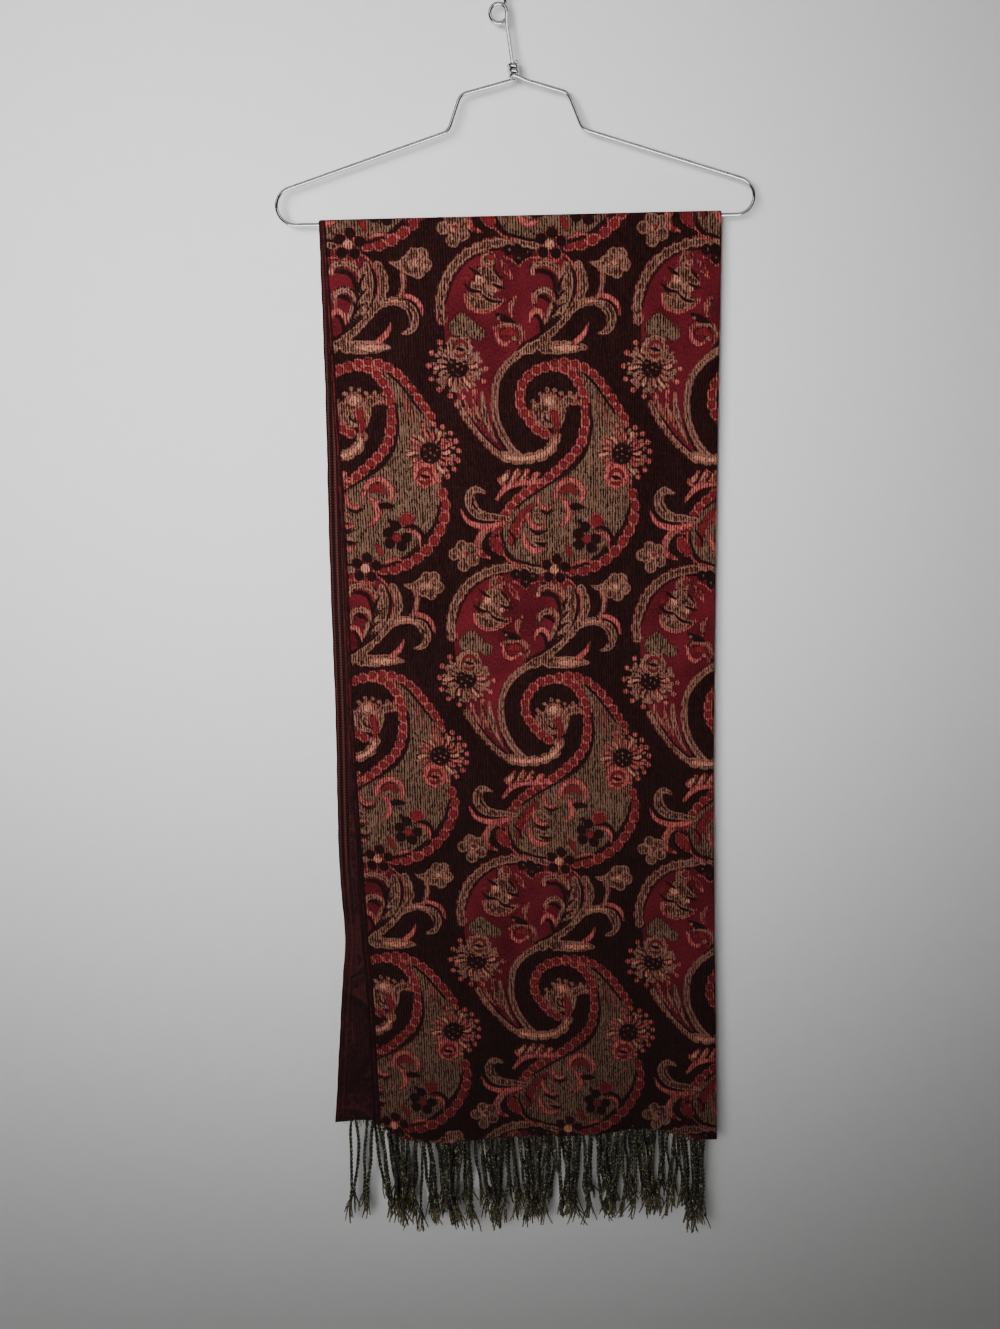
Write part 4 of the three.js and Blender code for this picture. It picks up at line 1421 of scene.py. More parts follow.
@dataclass
class Leaf:
    """One leaf on one side of the bar, from the crest over the bar down to its hem."""

    side: Side
    layer: Layer
    nodes: tuple[str, ...]  # the solids that it stands for
    repeat: PaisleyRepeat
    columns: int
    rows: int
    edge_roll: float = 0.4  # radius of the turned edge
    turned_in: float = 1.2  # how far the turned edge reaches back
    near_share: float = 0.13  # of the inner leaf, close to its edge, which shows
    turn_rows: int = 5
    selvedge: float = 2.0  # half width of the outer leaf's dark band: its woven selvedge and a painted shadow line along the edge

    @property
    def name(self) -> str:
        """The piece's name."""
        return f"scarf_{self.side.name}_{self.layer.value}"

    def _section(self) -> Section:
        """The stations across: the turned edge, the flat stretch and, outside, the fold and the lip.

        Returns:
            The section.
        """
        radius = self.edge_roll
        roll = np.radians(np.array([-90.0, -30, 30]))
        x = np.concatenate([[self.turned_in], radius - radius * np.cos(roll)])
        depth = -self.layer.sign * np.concatenate([[2 * radius], radius - radius * np.sin(roll)])
        run = np.concatenate([[-2 * self.turned_in], -radius * (np.pi / 2 - roll)])
        turned = np.zeros(len(x))
        if self.layer is Layer.INNER:
            near = np.linspace(0, self.near_share, self.columns * 2 // 3, endpoint=False)
            flat = np.concatenate([near, np.linspace(self.near_share, 1, self.columns // 3)])
            rest = np.zeros(len(flat))
            return Section(
                np.concatenate([turned, flat]),
                np.concatenate([x, rest]),
                np.concatenate([depth, rest]),
                np.concatenate([run, rest]),
            )
        rest = np.zeros(self.columns)
        arc = np.radians(np.linspace(90, -90, 7)[1:])
        over = [LAYER_HALF * np.cos(arc), LAYER_HALF * (np.sin(arc) - 1), LAYER_HALF * (np.pi / 2 - arc)]
        return Section(
            np.concatenate([turned, np.linspace(0, 1, self.columns), np.ones(len(arc) + 2)]),
            np.concatenate([x, rest, over[0], [-LIP / 2, -LIP]]),
            np.concatenate([depth, rest, over[1], [-2 * LAYER_HALF] * 2]),
            np.concatenate([run, rest, over[2], [LIP, 1.5 * LIP]]),
        )

    def build(self, material: bpy.types.Material) -> bpy.types.Object:
        """Makes the sheet.

        Rows run over a quarter turn about the bar and then down to the hem, where the last ones
        turn back by the edge's roll. x goes from the edge to the fold by each station's share, with
        a small wobble at the edge. The depth follows the solids' leaf: turn radius, soft folds,
        creases and, at the edge, a faint pucker.

        Args:
            material: The cloth's finish.

        Returns:
            The piece.
        """
        side, sign, section, radius = self.side, self.layer.sign, self._section(), self.edge_roll
        angle = np.radians(np.linspace(90, 180, self.turn_rows + 1))[:-1, None]
        hem_roll = np.radians(np.array([90.0, 30, -30, -90]))[:, None]
        count, tail = len(angle), len(hem_roll)
        part = np.concatenate([np.zeros(count), np.linspace(0, 1, self.rows), np.ones(tail)])[:, None]
        nominal = part * NOMINAL_DROP
        edge = side.edge(self.layer.edge, nominal)
        fold = side.edge(Edge.FOLD, nominal) - LAYER_HALF
        end = fold if self.layer is Layer.OUTER else fold - LIP
        wobble = 0.12 * np.sin(nominal / 9.3 + side.facing) + 0.1 * np.sin(nominal / 3.7)
        flat_x = edge + (end - edge) * section.share + wobble * (1 - np.minimum(section.share * 25, 1))
        x = flat_x + section.x
        drop = part * side.hem_drop(self.layer, flat_x)
        base = TURN_RADIUS + sign * LAYER_HALF + section.depth
        lift = drape(x, drop) + creased(x, drop) * smoothstep(drop, 5, 60)
        at_edge = np.exp(-((section.share * 350 / 14) ** 2))
        pucker = 0.25 * np.sin(drop / 7.1 + 2 * np.sin(drop / 31)) * at_edge
        y = side.facing * (base + pucker) - lift
        z = BAR_Z - drop
        y[:count] = side.facing * base * -np.cos(angle)
        z[:count] = BAR_Z + base * np.sin(angle)
        y[-tail:] = y[-tail - 1] + side.facing * -sign * (radius - radius * np.sin(hem_roll))
        z[-tail:] = z[-tail - 1] - radius * np.cos(hem_roll)
        points = np.stack(np.broadcast_arrays(x, y, z), -1)
        flip = (side.facing > 0) != (self.layer is Layer.INNER)
        piece = mesh_object(self.name, points.reshape(-1, 3), grid_faces(*x.shape, flip=flip))
        self._weave(piece, Spread(flat_x, edge, fold, section.run, drop, base * (np.pi / 2), count))
        piece.data.materials.append(material)
        return piece

    def _weave(self, piece: bpy.types.Object, spread: Spread) -> None:
        """Stores where each point lies on the flat cloth and how far it is from every ink.

        The inner leaf's places run on beyond the fold, and the back's run on above the crest. The
        third number of the place is the distance to the orange ink outside, and to the woven edge
        inside.

        Args:
            piece: The sheet.
            spread: Where its points lie, laid flat.
        """
        outer = self.layer is Layer.OUTER
        count, quarter = spread.turn_rows, spread.quarter
        share = (spread.flat_x - spread.edge) / (spread.fold - spread.edge)
        x = share * FLAT_WIDTH + EDGE_X + (spread.run if outer else 0)
        down = np.broadcast_to(spread.drop, x.shape).copy()
        down[:count] = -quarter * (1 - np.linspace(0, 1, count, endpoint=False))[:, None]
        if self.side is BACK:
            down = -down - 2 * quarter
        from_edge = np.broadcast_to(spread.flat_x - spread.edge, x.shape)
        if not outer:
            x = 2 * (EDGE_X + FLAT_WIDTH) - x
        slope, lift, drawn = (along(WEFT, column, np.maximum(down, 0)) for column in (1, 2, 3))
        x = x + drawn * (1 - share)
        inks = self.repeat.at(x, down + slope * (self.repeat.origin[0] - x) + lift)
        if outer:
            # A dark band along the outer leaf's edge, partly its woven selvedge and partly a painted shadow
            # line, widening lower down, with a thin rose line in it.
            middle = self.selvedge + 1.4 * smoothstep(down, 430, 700)
            inks = lay(inks, Ink.DARK, np.abs(from_edge - middle) - middle)
            inks = lay(inks, Ink.ROSE, np.abs(from_edge - middle) - 0.6)
        third = inks[Ink.ORANGE] if outer else from_edge
        vector_attribute(piece, "weave_place", np.stack([x, down, third], -1))
        vector_attribute(piece, "inks_under", np.moveaxis(inks[:3], 0, -1))
        vector_attribute(piece, "inks_over", np.moveaxis(inks[3:6], 0, -1))


# ---- fringe ---------------------------------------------------------------------------------


@dataclass(frozen=True)
class Bundle:
    """Some yarns of a fringe: their points, their quads and what is stored at each point."""

    points: np.ndarray
    faces: np.ndarray
    stored: np.ndarray


def threads(starts: np.ndarray, ends: np.ndarray, bow: np.ndarray, radius: float, rings: int) -> np.ndarray:
    """Thin three-sided tapering threads from starts to ends.

    Args:
        starts: Where they start.
        ends: Where they end.
        bow: How far each bows aside in the middle.
        radius: Of a thread at its start.
        rings: Sections of a thread.

    Returns:
        Points by thread, section and corner.
    """
    along_it = np.linspace(0, 1, rings)[None, :, None]
    straight = starts[:, None] + (ends - starts)[:, None] * along_it
    centre = straight + bow[:, None] * (4 * along_it * (1 - along_it))
    angle = np.arange(3) * FULL_TURN / 3
    taper = radius * (1 - 0.35 * along_it)
    return centre[:, :, None] + taper[..., None] * np.stack([np.cos(angle), np.sin(angle), 0 * angle], -1)


def tube_faces(count: int, rings: int, sides: int) -> np.ndarray:
    """Quads of equal tubes whose points are numbered tube by tube and ring by ring.

    Args:
        count: How many tubes.
        rings: Rings of a tube.
        sides: Points of a ring.

    Returns:
        One quad a row.
    """
    one = grid_faces(rings, sides, round_columns=True)
    return (one[None] + (np.arange(count) * rings * sides)[:, None, None]).reshape(-1, 4)


@dataclass
class FringeRow:
    """The twisted warp ends below one hem."""

    leaf: Leaf
    spread: float  # how far the tips stand forward of the hem
    phase: float
    shift: float  # of the first root, in strands
    length: float
    seed: int
    strands: int = 34
    radius: float = 1.9
    inset: float = 4.0
    rings: int = 64
    sides: int = 8
    twist: float = 9.0  # millimetres a turn
    twisted: float = 0.78  # share of a strand above its frayed tip
    frays: int = 9
    fray_rings: int = 5
    stubs: int = 260  # short ends in the hem
    stub_rings: int = 3

    @property
    def name(self) -> str:
        """The piece's name."""
        return f"fringe_{self.leaf.side.name}_{self.leaf.layer.value}"

    def _roots(self) -> np.ndarray:
        """Where the strands leave the hem.

        Returns:
            One root a row, from left to right.
        """
        side, layer = self.leaf.side, self.leaf.layer
        drop = np.array([NOMINAL_DROP])
        first = side.edge(layer.edge, drop)[0] + self.inset
        last = side.edge(Edge.FOLD, drop)[0] - LAYER_HALF - LIP - GAP - self.inset
        x = first + (last - first) * (np.arange(self.strands) + self.shift) / self.strands
        below = side.hem_drop(layer, x) + 0.2
        y = side.facing * (TURN_RADIUS + LAYER_HALF * layer.sign) - drape(x, below)
        return np.stack([x, y, BAR_Z - below], 1)

    def _centre_lines(self, roots: np.ndarray, t: np.ndarray) -> tuple[np.ndarray, np.ndarray]:
        """Centre lines of the strands at shares of their length.

        The tip is pulled aside by two waves in x, which gathers the strands into bunches; each also
        sways, curls a little and stands off its hem. Strands are longer by two waves in x, and by
        bells at both ends of the row.

        Args:
            roots: The strands' roots.
            t: Shares of the length.

        Returns:
            Points by strand and share, and the strands' lengths.
        """
        x = roots[:, :1]
        gather = 9.0 * np.sin(FULL_TURN * x / 43 + 0.9 * np.sin(x / 47))
        pull = gather + 2.4 * np.sin(FULL_TURN * x / 19 + self.phase) + 17 * np.exp(-(((x + 211) / 8) ** 2))
        uneven = 6 * np.sin(x / 3.1 + self.phase) + 4 * np.sin(x / 1.7 + 2 * self.phase)
        uneven = uneven + 14 * np.exp(-(((x + 200) / 22) ** 2)) + 15 * np.exp(-(((x - 142) / 12) ** 2))
        length = self.length + uneven
        rng = np.random.default_rng(self.seed)
        lean = rng.normal(0, 3.2, x.shape)
        curl = rng.uniform(0.4, 2.1, x.shape)
        beat = rng.uniform(0, 6.3, x.shape)
        sway = 2.0 * np.sin(FULL_TURN * t + x / 23 + self.phase) * t
        hand = np.where(np.arange(self.strands) % 2, -1, 1)[:, None]
        pairs = 0.3 * (x[1] - x[0]) * hand * np.exp(-6 * t)
        wave = curl * (np.sin(9 * t + beat) * t + 0.6 * np.sin(17 * t + 2 * beat) * t)
        across = x + pairs + pull * t**1.15 + sway + lean * t * t + wave
        out = roots[:, 1:2] - self.spread * (1 - (1 - t) ** 4) + 0.7 * np.sin(11 * t + 1.7 * beat) * t
        down = roots[:, 2:3] - length * t
        return np.stack(np.broadcast_arrays(across, out, down), -1), length

    def build(self, material: bpy.types.Material) -> bpy.types.Object:
        """Makes the row: two-ply cords, their frayed tips and the short ends between the roots.

        Args:
            material: The yarn's finish.

        Returns:
            The piece.
        """
        roots = self._roots()
        rng = np.random.default_rng(self.seed + 100)
        t = np.linspace(0, self.twisted, self.rings)
        centres, length = self._centre_lines(roots, t)
        bundles = [
            self._cords(centres, length, t, rng),
            self._frayed(centres, length, rng),
            self._short_ends(roots, rng),
        ]
        first = np.cumsum([0] + [len(bundle.points) for bundle in bundles])
        points = np.concatenate([bundle.points for bundle in bundles])
        faces = np.concatenate([bundle.faces + start for bundle, start in zip(bundles, first)])
        piece = mesh_object(self.name, points, faces)
        vector_attribute(piece, "cord_place", np.concatenate([bundle.stored for bundle in bundles]))
        piece.data.materials.append(material)
        return piece

    def _cords(
        self, centres: np.ndarray, length: np.ndarray, t: np.ndarray, rng: np.random.Generator
    ) -> Bundle:
        """The two-ply cords down to their tips.

        A cord's section is a circle pinched at two sides, r(a) = r (0.58 + 0.42 |cos a|), and it
        turns with the twist as it goes down.

        Args:
            centres: Their centre lines, by strand and share.
            length: Their lengths.
            t: The shares.
            rng: Draws each cord's turn, thickness and tone.

        Returns:
            The cords, with their place down the strand, the painted shade of the groove between the plies
            and the tone.
        """
        angle = np.arange(self.sides) * FULL_TURN / self.sides
        spin = FULL_TURN * (length * t) / self.twist + rng.uniform(0, 6.3, (self.strands, 1))
        pinch = 0.58 + 0.42 * np.abs(np.cos(angle))
        swell = 0.75 + 0.25 * np.minimum(t / 0.06, 1) - 0.12 * np.sin(40 * t) * t
        thick = self.radius * rng.uniform(0.85, 1.1, (self.strands, 1)) * swell
        turned = spin[..., None] + angle
        reach = thick[..., None] * pinch
        ring = np.stack([reach * np.cos(turned), reach * np.sin(turned), np.zeros_like(turned)], -1)
        tone = np.broadcast_to(rng.uniform(0.2, 1, (self.strands, 1, 1)), turned.shape)
        # painted shade of the groove between the plies: 1 at the pinched sides, 0 on the plies
        groove_shade = np.broadcast_to(1 - np.abs(np.cos(angle)), turned.shape)
        down = np.broadcast_to(t[None, :, None] * 0.7, turned.shape)
        return Bundle(
            (centres[:, :, None] + ring).reshape(-1, 3),
            tube_faces(self.strands, self.rings, self.sides),
            np.stack([down, groove_shade, tone], -1).reshape(-1, 3),
        )

    def _frayed(self, centres: np.ndarray, length: np.ndarray, rng: np.random.Generator) -> Bundle:
        """The brush of loose yarn at each tip: threads that flare off the cord's last direction.

        Args:
            centres: The cords' centre lines, by strand and share.
            length: Their lengths.
            rng: Draws how each thread runs.

        Returns:
            The threads.
        """
        heading = centres[:, -1] - centres[:, -6]
        heading /= np.linalg.norm(heading, axis=1, keepdims=True)
        start = np.repeat(centres[:, -1] - heading * 3, self.frays, 0)
        heading = np.repeat(heading, self.frays, 0)
        count = len(start)
        reach = np.repeat(length * 0.2, self.frays, 0) * rng.uniform(0.5, 1.25, (count, 1))
        flare = np.clip(rng.standard_t(3, (count, 3)), -4, 4) * np.array([0.15, 0.05, 0.03])
        end = start + (heading + flare) * reach
        end[:, 1] = np.clip(end[:, 1], -14, 11)
        bow = rng.normal(0, 1.0, (count, 3)) * np.array([1, 0.4, 0])
        points = threads(start, end, bow, 1.0, self.fray_rings).reshape(-1, 3)
        share = np.tile(np.repeat(np.linspace(0.62, 1.05, self.fray_rings), 3), count)
        tone = np.repeat(rng.uniform(0.2, 1, count), 3 * self.fray_rings)
        faces = tube_faces(count, self.fray_rings, 3)
        # the second number is a faint painted groove shade
        return Bundle(points, faces, np.stack([share, 0.1 * share, tone], -1))

    def _short_ends(self, roots: np.ndarray, rng: np.random.Generator) -> Bundle:
        """Short yarns that stick out of the hem between the strands.

        Args:
            roots: The strands' roots, from left to right.
            rng: Draws where they stand and how they run.

        Returns:
            The yarns.
        """
        count = self.stubs
        x = rng.uniform(roots[0, 0] - 3, roots[-1, 0] + 3, count)
        y, z = (np.interp(x, roots[:, 0], roots[:, axis]) for axis in (1, 2))
        start = np.stack([x, y, z + 1.2], 1)
        aside, out, down = rng.normal(0, 1.6, count), rng.normal(0, 0.5, count), rng.uniform(3, 9, count)
        end = start + np.stack([aside, out, -down], 1)
        points = threads(start, end, rng.normal(0, 0.5, (count, 3)), 0.38, self.stub_rings).reshape(-1, 3)
        tone = np.repeat(rng.uniform(0, 1, count), 3 * self.stub_rings)
        faces = tube_faces(count, self.stub_rings, 3)
        # the second number is a faint painted groove shade
        return Bundle(points, faces, np.stack([0.3 * tone, 0.1 * tone, tone], -1))


# ---- hanger ---------------------------------------------------------------------------------


# The wire's free stretches: x, y and height above the bar.
STEM = ((-0.4, 0.4, 189.8), (-4.4, 1.6, 185), (-5.2, 3.3, 179), (-4.3, 3.9, 173))
LEFT_NECK = ((0.9, 0, 116.4), (-0.6, 0, 114.4), (-3.6, 0, 113.6), (-7, 0, 112.8))
RIGHT_NECK = ((11.0, -0.8, 113.4), (6, -2.4, 114.9), (2.9, -3.3, 116.1))
SHANK_HEIGHTS = (165.5, 159.2, 148, 138, 128, 119.5)
BAR_ENDS = (-170, 170)
HANGER_NODES = (
    "hanger_hook",
    "hanger_ring",
    "hanger_shank",
    "hanger_wraps",
    "hanger_left_arm",
    "hanger_right_arm",
    "hanger_bar",
)


@dataclass
class WireHanger:
    """One chrome wire: hook, stem, a full loop, shank, left arm, bar, right arm and its wraps.

    Heights are counted from the bar's middle.
    """

    radius: float = WIRE_RADIUS
    sides: int = 24
    hook_radius: float = 21.6
    hook_above: float = 212.0
    ring_radius: float = 7.4
    ring_x: float = -11.4
    ring_above: float = 168.2
    ring_rise: float = 3.9
    end_bend: float = 15.4
    end_bend_x: float = 194.8
    shoulder_top: tuple[float, float] = (46.8, 103.2)
    shoulder_foot: tuple[float, float] = (58.5, 73.7)
    shoulder_bend: float = 5.0
    wrap_foot: float = 116.6
    wrap_pitch: float = 4.1
    wrap_turns: float = 2.9
    wrap_radius: float = 3.8
    slope: float = 73.0  # where the bend at the bar's end meets the arm, in degrees
    section_step: float = 1.2

    def _shank_x(self, above: np.ndarray | float) -> np.ndarray | float:
        """x of the leaning shank at a height above the bar."""
        return 0.37 - 0.117 * (above - self.wrap_foot)

    @staticmethod
    def _arc(x: float, above: float, radius: float, start: float, end: float, steps: int) -> np.ndarray:
        """Points of an arc in the hanger's plane.

        Args:
            x: x of its middle.
            above: Height of its middle.
            radius: Its radius.
            start: Where it starts, in degrees from the right, upwards.
            end: Where it ends.
            steps: Its segments.

        Returns:
            x, y and height, one point a row.
        """
        turn = np.radians(np.linspace(start, end, steps + 1))
        return np.stack([x + radius * np.cos(turn), 0 * turn, above + radius * np.sin(turn)], 1)

    def _corner(self, before: np.ndarray, corner: np.ndarray, after: np.ndarray) -> np.ndarray:
        """A rounded corner: points of a parabola whose legs are `shoulder_bend` long.

        Args:
            before: A point before the corner.
            corner: The sharp corner.
            after: A point after it.

        Returns:
            The points, one a row.
        """
        start = corner + (before - corner) / np.linalg.norm(before - corner) * self.shoulder_bend
        end = corner + (after - corner) / np.linalg.norm(after - corner) * self.shoulder_bend
        t = np.linspace(0, 1, 9)[:, None]
        return (1 - t) ** 2 * start + 2 * t * (1 - t) * corner + t * t * end

    def _arm(self, side: int, neck: np.ndarray) -> np.ndarray:
        """An arm from its neck over the shoulder and round the end of the bar.

        Args:
            side: -1 for the left arm, 1 for the right one.
            neck: Where it starts.

        Returns:
            The points, one a row.
        """
        top = np.array([side * self.shoulder_top[0], 0, self.shoulder_top[1]])
        foot = np.array([side * self.shoulder_foot[0], 0, self.shoulder_foot[1]])
        if side > 0:
            end = self._arc(self.end_bend_x, self.end_bend, self.end_bend, self.slope, -90, 24)
        else:
            end = self._arc(-self.end_bend_x, self.end_bend, self.end_bend, 180 - self.slope, 270, 24)
        straight = foot + (end[0] - foot) * np.linspace(0.1, 0.95, 6)[:, None]
        upper = neck + (top - neck) * np.array([[0.3], [0.7]])
        shoulder = np.concatenate([self._corner(neck, top, foot), self._corner(top, foot, end[0])])
        return np.concatenate([upper, shoulder, straight, end])

    def _wraps(self) -> np.ndarray:
        """The wire's last turns about the shank, a helix.

        Returns:
            The points, one a row.
        """
        turn = np.linspace(0, self.wrap_turns, 84)
        above = self.wrap_foot + self.wrap_pitch * turn
        angle = -np.pi / 2 - FULL_TURN * turn
        x = self._shank_x(above) + self.wrap_radius * np.cos(angle)
        return np.stack([x, self.wrap_radius * np.sin(angle), above], 1)

    def centre_line(self) -> np.ndarray:
        """The wire's centre line from the hook's tip to the end of the wraps.

        The stretches are joined, set out evenly and smoothed twice by a quarter of each neighbour.

        Returns:
            Points in the part's frame.
        """
        hook = self._arc(0, self.hook_above, self.hook_radius, 200, -52, 46)
        loop = self._arc(self.ring_x, self.ring_above, self.ring_radius, 362, 5, 44)
        loop[:, 1] = self.ring_rise * np.linspace(1, 0, len(loop))
        stem = spline(np.concatenate([hook[-1:], STEM, loop[:1]]), 5)[1:-1]
        heights = np.array(SHANK_HEIGHTS)
        shank = np.stack([self._shank_x(heights), 0 * heights, heights], 1)
        shank[0, 0] = self._shank_x(163.0) + 0.6
        left_neck = spline(LEFT_NECK, 4)
        left = self._arm(-1, left_neck[-1])
        bar = np.linspace(BAR_ENDS[0], BAR_ENDS[1], 9)[:, None] * np.array([1, 0, 0])
        right = self._arm(1, np.array(RIGHT_NECK[0]))[::-1]
        run = np.concatenate(
            [hook, stem, loop, shank, left_neck, left, bar, right, spline(RIGHT_NECK, 4), self._wraps()]
        )
        run = evenly(run + [0, 0, BAR_Z], self.section_step)
        for _ in range(2):
            run[1:-1] = (run[:-2] + 2 * run[1:-1] + run[2:]) / 4
        return run

    def build(self, finish: bpy.types.Material) -> bpy.types.Object:
        """Sweeps a circle along the centre line, turning it with the wire but never about it.

        The ends are rounded. The loop carries each section's direction on to the next.

        Args:
            finish: The wire's material.

        Returns:
            The piece.
        """
        centre = self.centre_line()
        tangent = np.gradient(centre, axis=0)
        tangent /= np.linalg.norm(tangent, axis=1, keepdims=True)
        normal = np.zeros_like(centre)
        hand = np.array([0.0, -1, 0.01])
        for i, along_wire in enumerate(tangent):
            hand = hand - along_wire * (hand @ along_wire)
            hand /= np.linalg.norm(hand)
            normal[i] = hand
        binormal = np.cross(tangent, normal)
        run = np.concatenate([[0], np.cumsum(np.linalg.norm(np.diff(centre, axis=0), axis=1))])
        end = np.minimum(run, run[-1] - run) / self.radius
        thick = self.radius * np.sqrt(1 - (1 - np.clip(end, 0.02, 1)) ** 2)
        angle = np.arange(self.sides) * FULL_TURN / self.sides
        around = normal[:, None] * np.cos(angle)[:, None] + binormal[:, None] * np.sin(angle)[:, None]
        points = centre[:, None] + thick[:, None, None] * around
        faces = grid_faces(len(centre), self.sides, round_columns=True, flip=True)
        piece = mesh_object("hanger_wire", points.reshape(-1, 3), faces)
        piece.data.materials.append(finish)
        return piece


# ---- studio ---------------------------------------------------------------------------------


@dataclass(frozen=True)
class Lamp:
    """A rectangular soft light, in metres, watts and degrees."""

    name: str
    place: tuple[float, float, float]
    aim: tuple[float, float, float]
    size: tuple[float, float]
    power: float
    spread: float = 180.0
    unseen: str = "glossy"  # the rays that pass it by

    def hang(self) -> None:
        """Adds the light to the scene, facing its aim."""
        data = bpy.data.lights.new(self.name, "AREA")
        data.shape = "RECTANGLE"
        data.size, data.size_y = self.size
        data.energy = self.power
        data.spread = np.radians(self.spread)
        light = bpy.data.objects.new(self.name, data)
        away = np.array(self.place, float) - np.array(self.aim, float)
        away /= np.linalg.norm(away)
        side = np.cross([0, 0, 1.0], away)
        side /= np.linalg.norm(side)
        pose = np.eye(4)
        pose[:3] = np.stack([side, np.cross(away, side), away, self.place], 1)
        light.matrix_world = Matrix(pose.tolist())
        setattr(light, f"visible_{self.unseen}", False)
        bpy.context.scene.collection.objects.link(light)


LAMPS = (
    Lamp("window", (-1.19, -1.6, -0.01), (-0.69, 0, -0.26), (0.6, 0.9), 8.1, spread=87.0),
    Lamp("fill", (-0.6, -1.4, -0.44), (-0.1, 0, -0.33), (0.8, 0.8), 7.4, spread=61.0),
    Lamp("bounce", (0.0, -1.0, -1.7), (0, 0, -0.3), (2.4, 1.4), 70.0, unseen="diffuse"),
    Lamp("high_card", (0, -1.5, 0.6), (0, 0, -0.1), (2.8, 0.3), 7.5, unseen="diffuse"),
    Lamp("rear", (0.3, 1.6, -0.3), (0, 0, -0.6), (1.2, 1.2), 34.0, unseen="camera"),
)


@dataclass
class Studio:
    """Camera, plain wall and floor, and soft light from the upper left."""

    eye: tuple[float, float, float] = (-77.2, -926.6, -484.2)
    yaw: float = 2.83
    pitch: float = 8.74
    roll: float = 2.20
    focal_px: float = 1000.0
    image: tuple[int, int] = (1000, 1329)
    sensor: float = 36.0
    wall_y: float = 13.0
    reach: float = 2600.0  # of wall and floor to each side
    wall_top: float = 1400.0
    floor_z: float = -1900.0
    wall_colour: tuple[float, float, float] = (198, 198, 198)
    floor_colour: tuple[float, float, float] = (214, 212, 208)
    room_light: tuple[float, float, float, float] = (1.0, 0.96, 0.91, 1.0)

    def camera(self) -> None:
        """Sets the camera from its place and its three angles, in degrees."""
        yaw, pitch, roll = np.radians([self.yaw, self.pitch, self.roll])
        right = np.array([np.cos(yaw), -np.sin(yaw), 0])
        ahead = np.array([np.sin(yaw) * np.cos(pitch), np.cos(yaw) * np.cos(pitch), -np.sin(pitch)])
        up = np.array([np.sin(yaw) * np.sin(pitch), np.cos(yaw) * np.sin(pitch), np.cos(pitch)])
        pose = np.eye(4)
        pose[:3, 0] = right * np.cos(roll) - up * np.sin(roll)
        pose[:3, 1] = right * np.sin(roll) + up * np.cos(roll)
        pose[:3, 2] = -ahead
        pose[:3, 3] = np.array(self.eye) * MM
        data = bpy.data.cameras.new("camera")
        data.sensor_width = self.sensor
        data.lens = self.sensor * self.focal_px / max(self.image)
        camera = bpy.data.objects.new("camera", data)
        camera.matrix_world = Matrix(pose.tolist())
        bpy.context.scene.collection.objects.link(camera)
        bpy.context.scene.camera = camera

    def _paint(self, name: str, colour: tuple[float, float, float]) -> bpy.types.Material:
        """A matt stage paint with a faint grain, clear from behind.

        Args:
            name: The paint's name.
            colour: Its display colour.

        Returns:
            The material.
        """
        book = NodeBook(bpy.data.materials.new(name))
        grain = book.noise(book.place(), 60.0, 3.0)
        tint = book.shaded(linear(*colour), 1.0 + (grain - 0.5) * 0.05)
        inputs = {"Base Color": tint, "Roughness": 0.95, "Specular IOR Level": 0.2}
        paint = book.node("ShaderNodeBsdfPrincipled", {}, inputs)
        clear = book.node("ShaderNodeBsdfTransparent", {}, {})
        behind = book.node("ShaderNodeNewGeometry", {}, {}).outputs["Backfacing"]
        both = book.node("ShaderNodeMixShader", {}, {0: behind, 1: paint.outputs[0], 2: clear.outputs[0]})
        book.node("ShaderNodeOutputMaterial", {}, {"Surface": both.outputs[0]})
        return book.owner

    def _square(self, name: str, corners: list, colour: tuple[float, float, float]) -> bpy.types.Object:
        """One square of the stage.

        Args:
            name: The piece's name.
            corners: Its four corners.
            colour: Its paint's display colour.

        Returns:
            The piece.
        """
        piece = mesh_object(name, np.array(corners), np.array([[0, 1, 2, 3]]))
        piece.data.materials.append(self._paint(f"{name}_paint", colour))
        piece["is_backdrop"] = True
        return piece

    def _room(self) -> None:
        """Lights the scene all round, more from below than from above."""
        world = bpy.data.worlds.new("soft_room")
        book = NodeBook(world)
        generated = book.node("ShaderNodeTexCoord", {}, {}).outputs["Generated"]
        height = {"Value": book.split(generated)[2], "From Min": -0.3, "From Max": 0.5}
        strength = book.signal("ShaderNodeMapRange", {}, {**height, "To Min": 0.08, "To Max": 0.02})
        light = book.node("ShaderNodeBackground", {}, {"Color": self.room_light, "Strength": strength})
        book.node("ShaderNodeOutputWorld", {}, {"Surface": light.outputs[0]})
        bpy.context.scene.world = world

    def build(self) -> None:
        """Puts up the stage, the lights and the camera."""
        far, top, foot, y = self.reach, self.wall_top, self.floor_z, self.wall_y
        upright = [(-far, y, foot), (far, y, foot), (far, y, top), (-far, y, top)]
        level = [(-far, -far, foot), (far, -far, foot), (far, far, foot), (-far, far, foot)]
        wall = self._square("wall", upright, self.wall_colour)
        wall.visible_shadow = False
        self._square("floor", level, self.floor_colour)
        for lamp in LAMPS:
            lamp.hang()
        self._room()
        self.camera()


# ---- making it ------------------------------------------------------------------------------


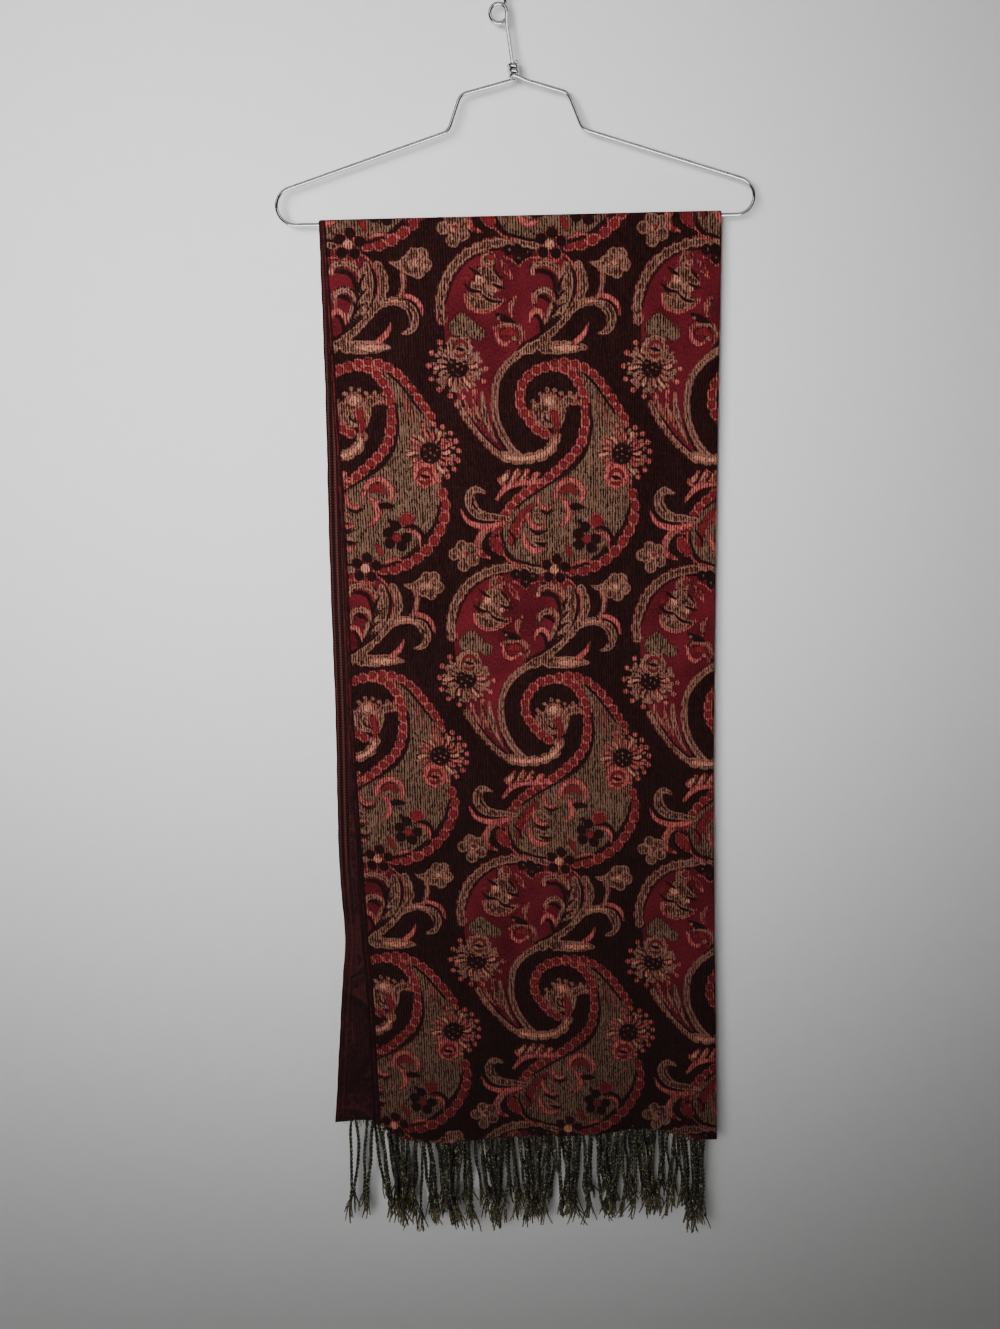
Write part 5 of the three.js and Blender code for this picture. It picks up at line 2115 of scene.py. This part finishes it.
def place(piece: bpy.types.Object, slot: str, *nodes: str) -> None:
    """Rides a finished piece on the part, in place of its solids.

    Args:
        piece: The piece.
        slot: Not used.
        nodes: The solids that it replaces.
    """
    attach(piece, "root")
    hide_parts(*nodes)
    LOG.info("%s: %d faces", piece.name, len(piece.data.polygons))


def main() -> None:
    """Builds studio, hanger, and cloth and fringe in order."""
    Studio().build()
    finishes = (WireFinish(), JacquardFinish(), ReverseFinish(), CordFinish())
    made = {finish.name: finish.make() for finish in finishes}
    wire = WireHanger().build(made["chrome_wire"])
    place(wire, "chrome_wire", *HANGER_NODES)
    repeat = PaisleyRepeat()
    leaves = (
        Leaf(FRONT, Layer.OUTER, ("front_outer_leaf", "bar_turn_outer"), repeat, columns=190, rows=484),
        Leaf(FRONT, Layer.INNER, ("front_inner_leaf", "bar_turn_inner"), repeat, columns=39, rows=440),
        Leaf(BACK, Layer.INNER, ("back_inner_leaf",), repeat, columns=30, rows=300),
        Leaf(BACK, Layer.OUTER, ("back_outer_leaf",), repeat, columns=180, rows=400),
    )
    fringes = (
        FringeRow(leaves[0], spread=2.8, phase=0.4, shift=0.25, length=94, seed=7),
        FringeRow(leaves[1], spread=0.3, phase=2.3, shift=0.75, length=98, seed=8),
        FringeRow(leaves[2], spread=-0.2, phase=4.1, shift=0.25, length=97, seed=9),
        FringeRow(leaves[3], spread=-2.4, phase=5.5, shift=0.75, length=96, seed=10),
    )
    for leaf, row in zip(leaves, fringes):
        sheet = leaf.build(made[leaf.layer.slot])
        place(sheet, leaf.layer.slot, *leaf.nodes)
        fringe = row.build(made["fringe_cord"])
        place(fringe, "fringe_cord", f"{leaf.side.name}_{leaf.layer.value}_fringe")
    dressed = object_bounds()
    boxes = {"cad": CAD_BOX, "visual": dressed}
    for name, box in boxes.items():
        LOG.info("%s box: %s", name, [[round(v, 4) for v in corner] for corner in box])


if __name__ == "__main__":
    logging.basicConfig(level=logging.INFO, format="%(name)s: %(message)s")
    main()
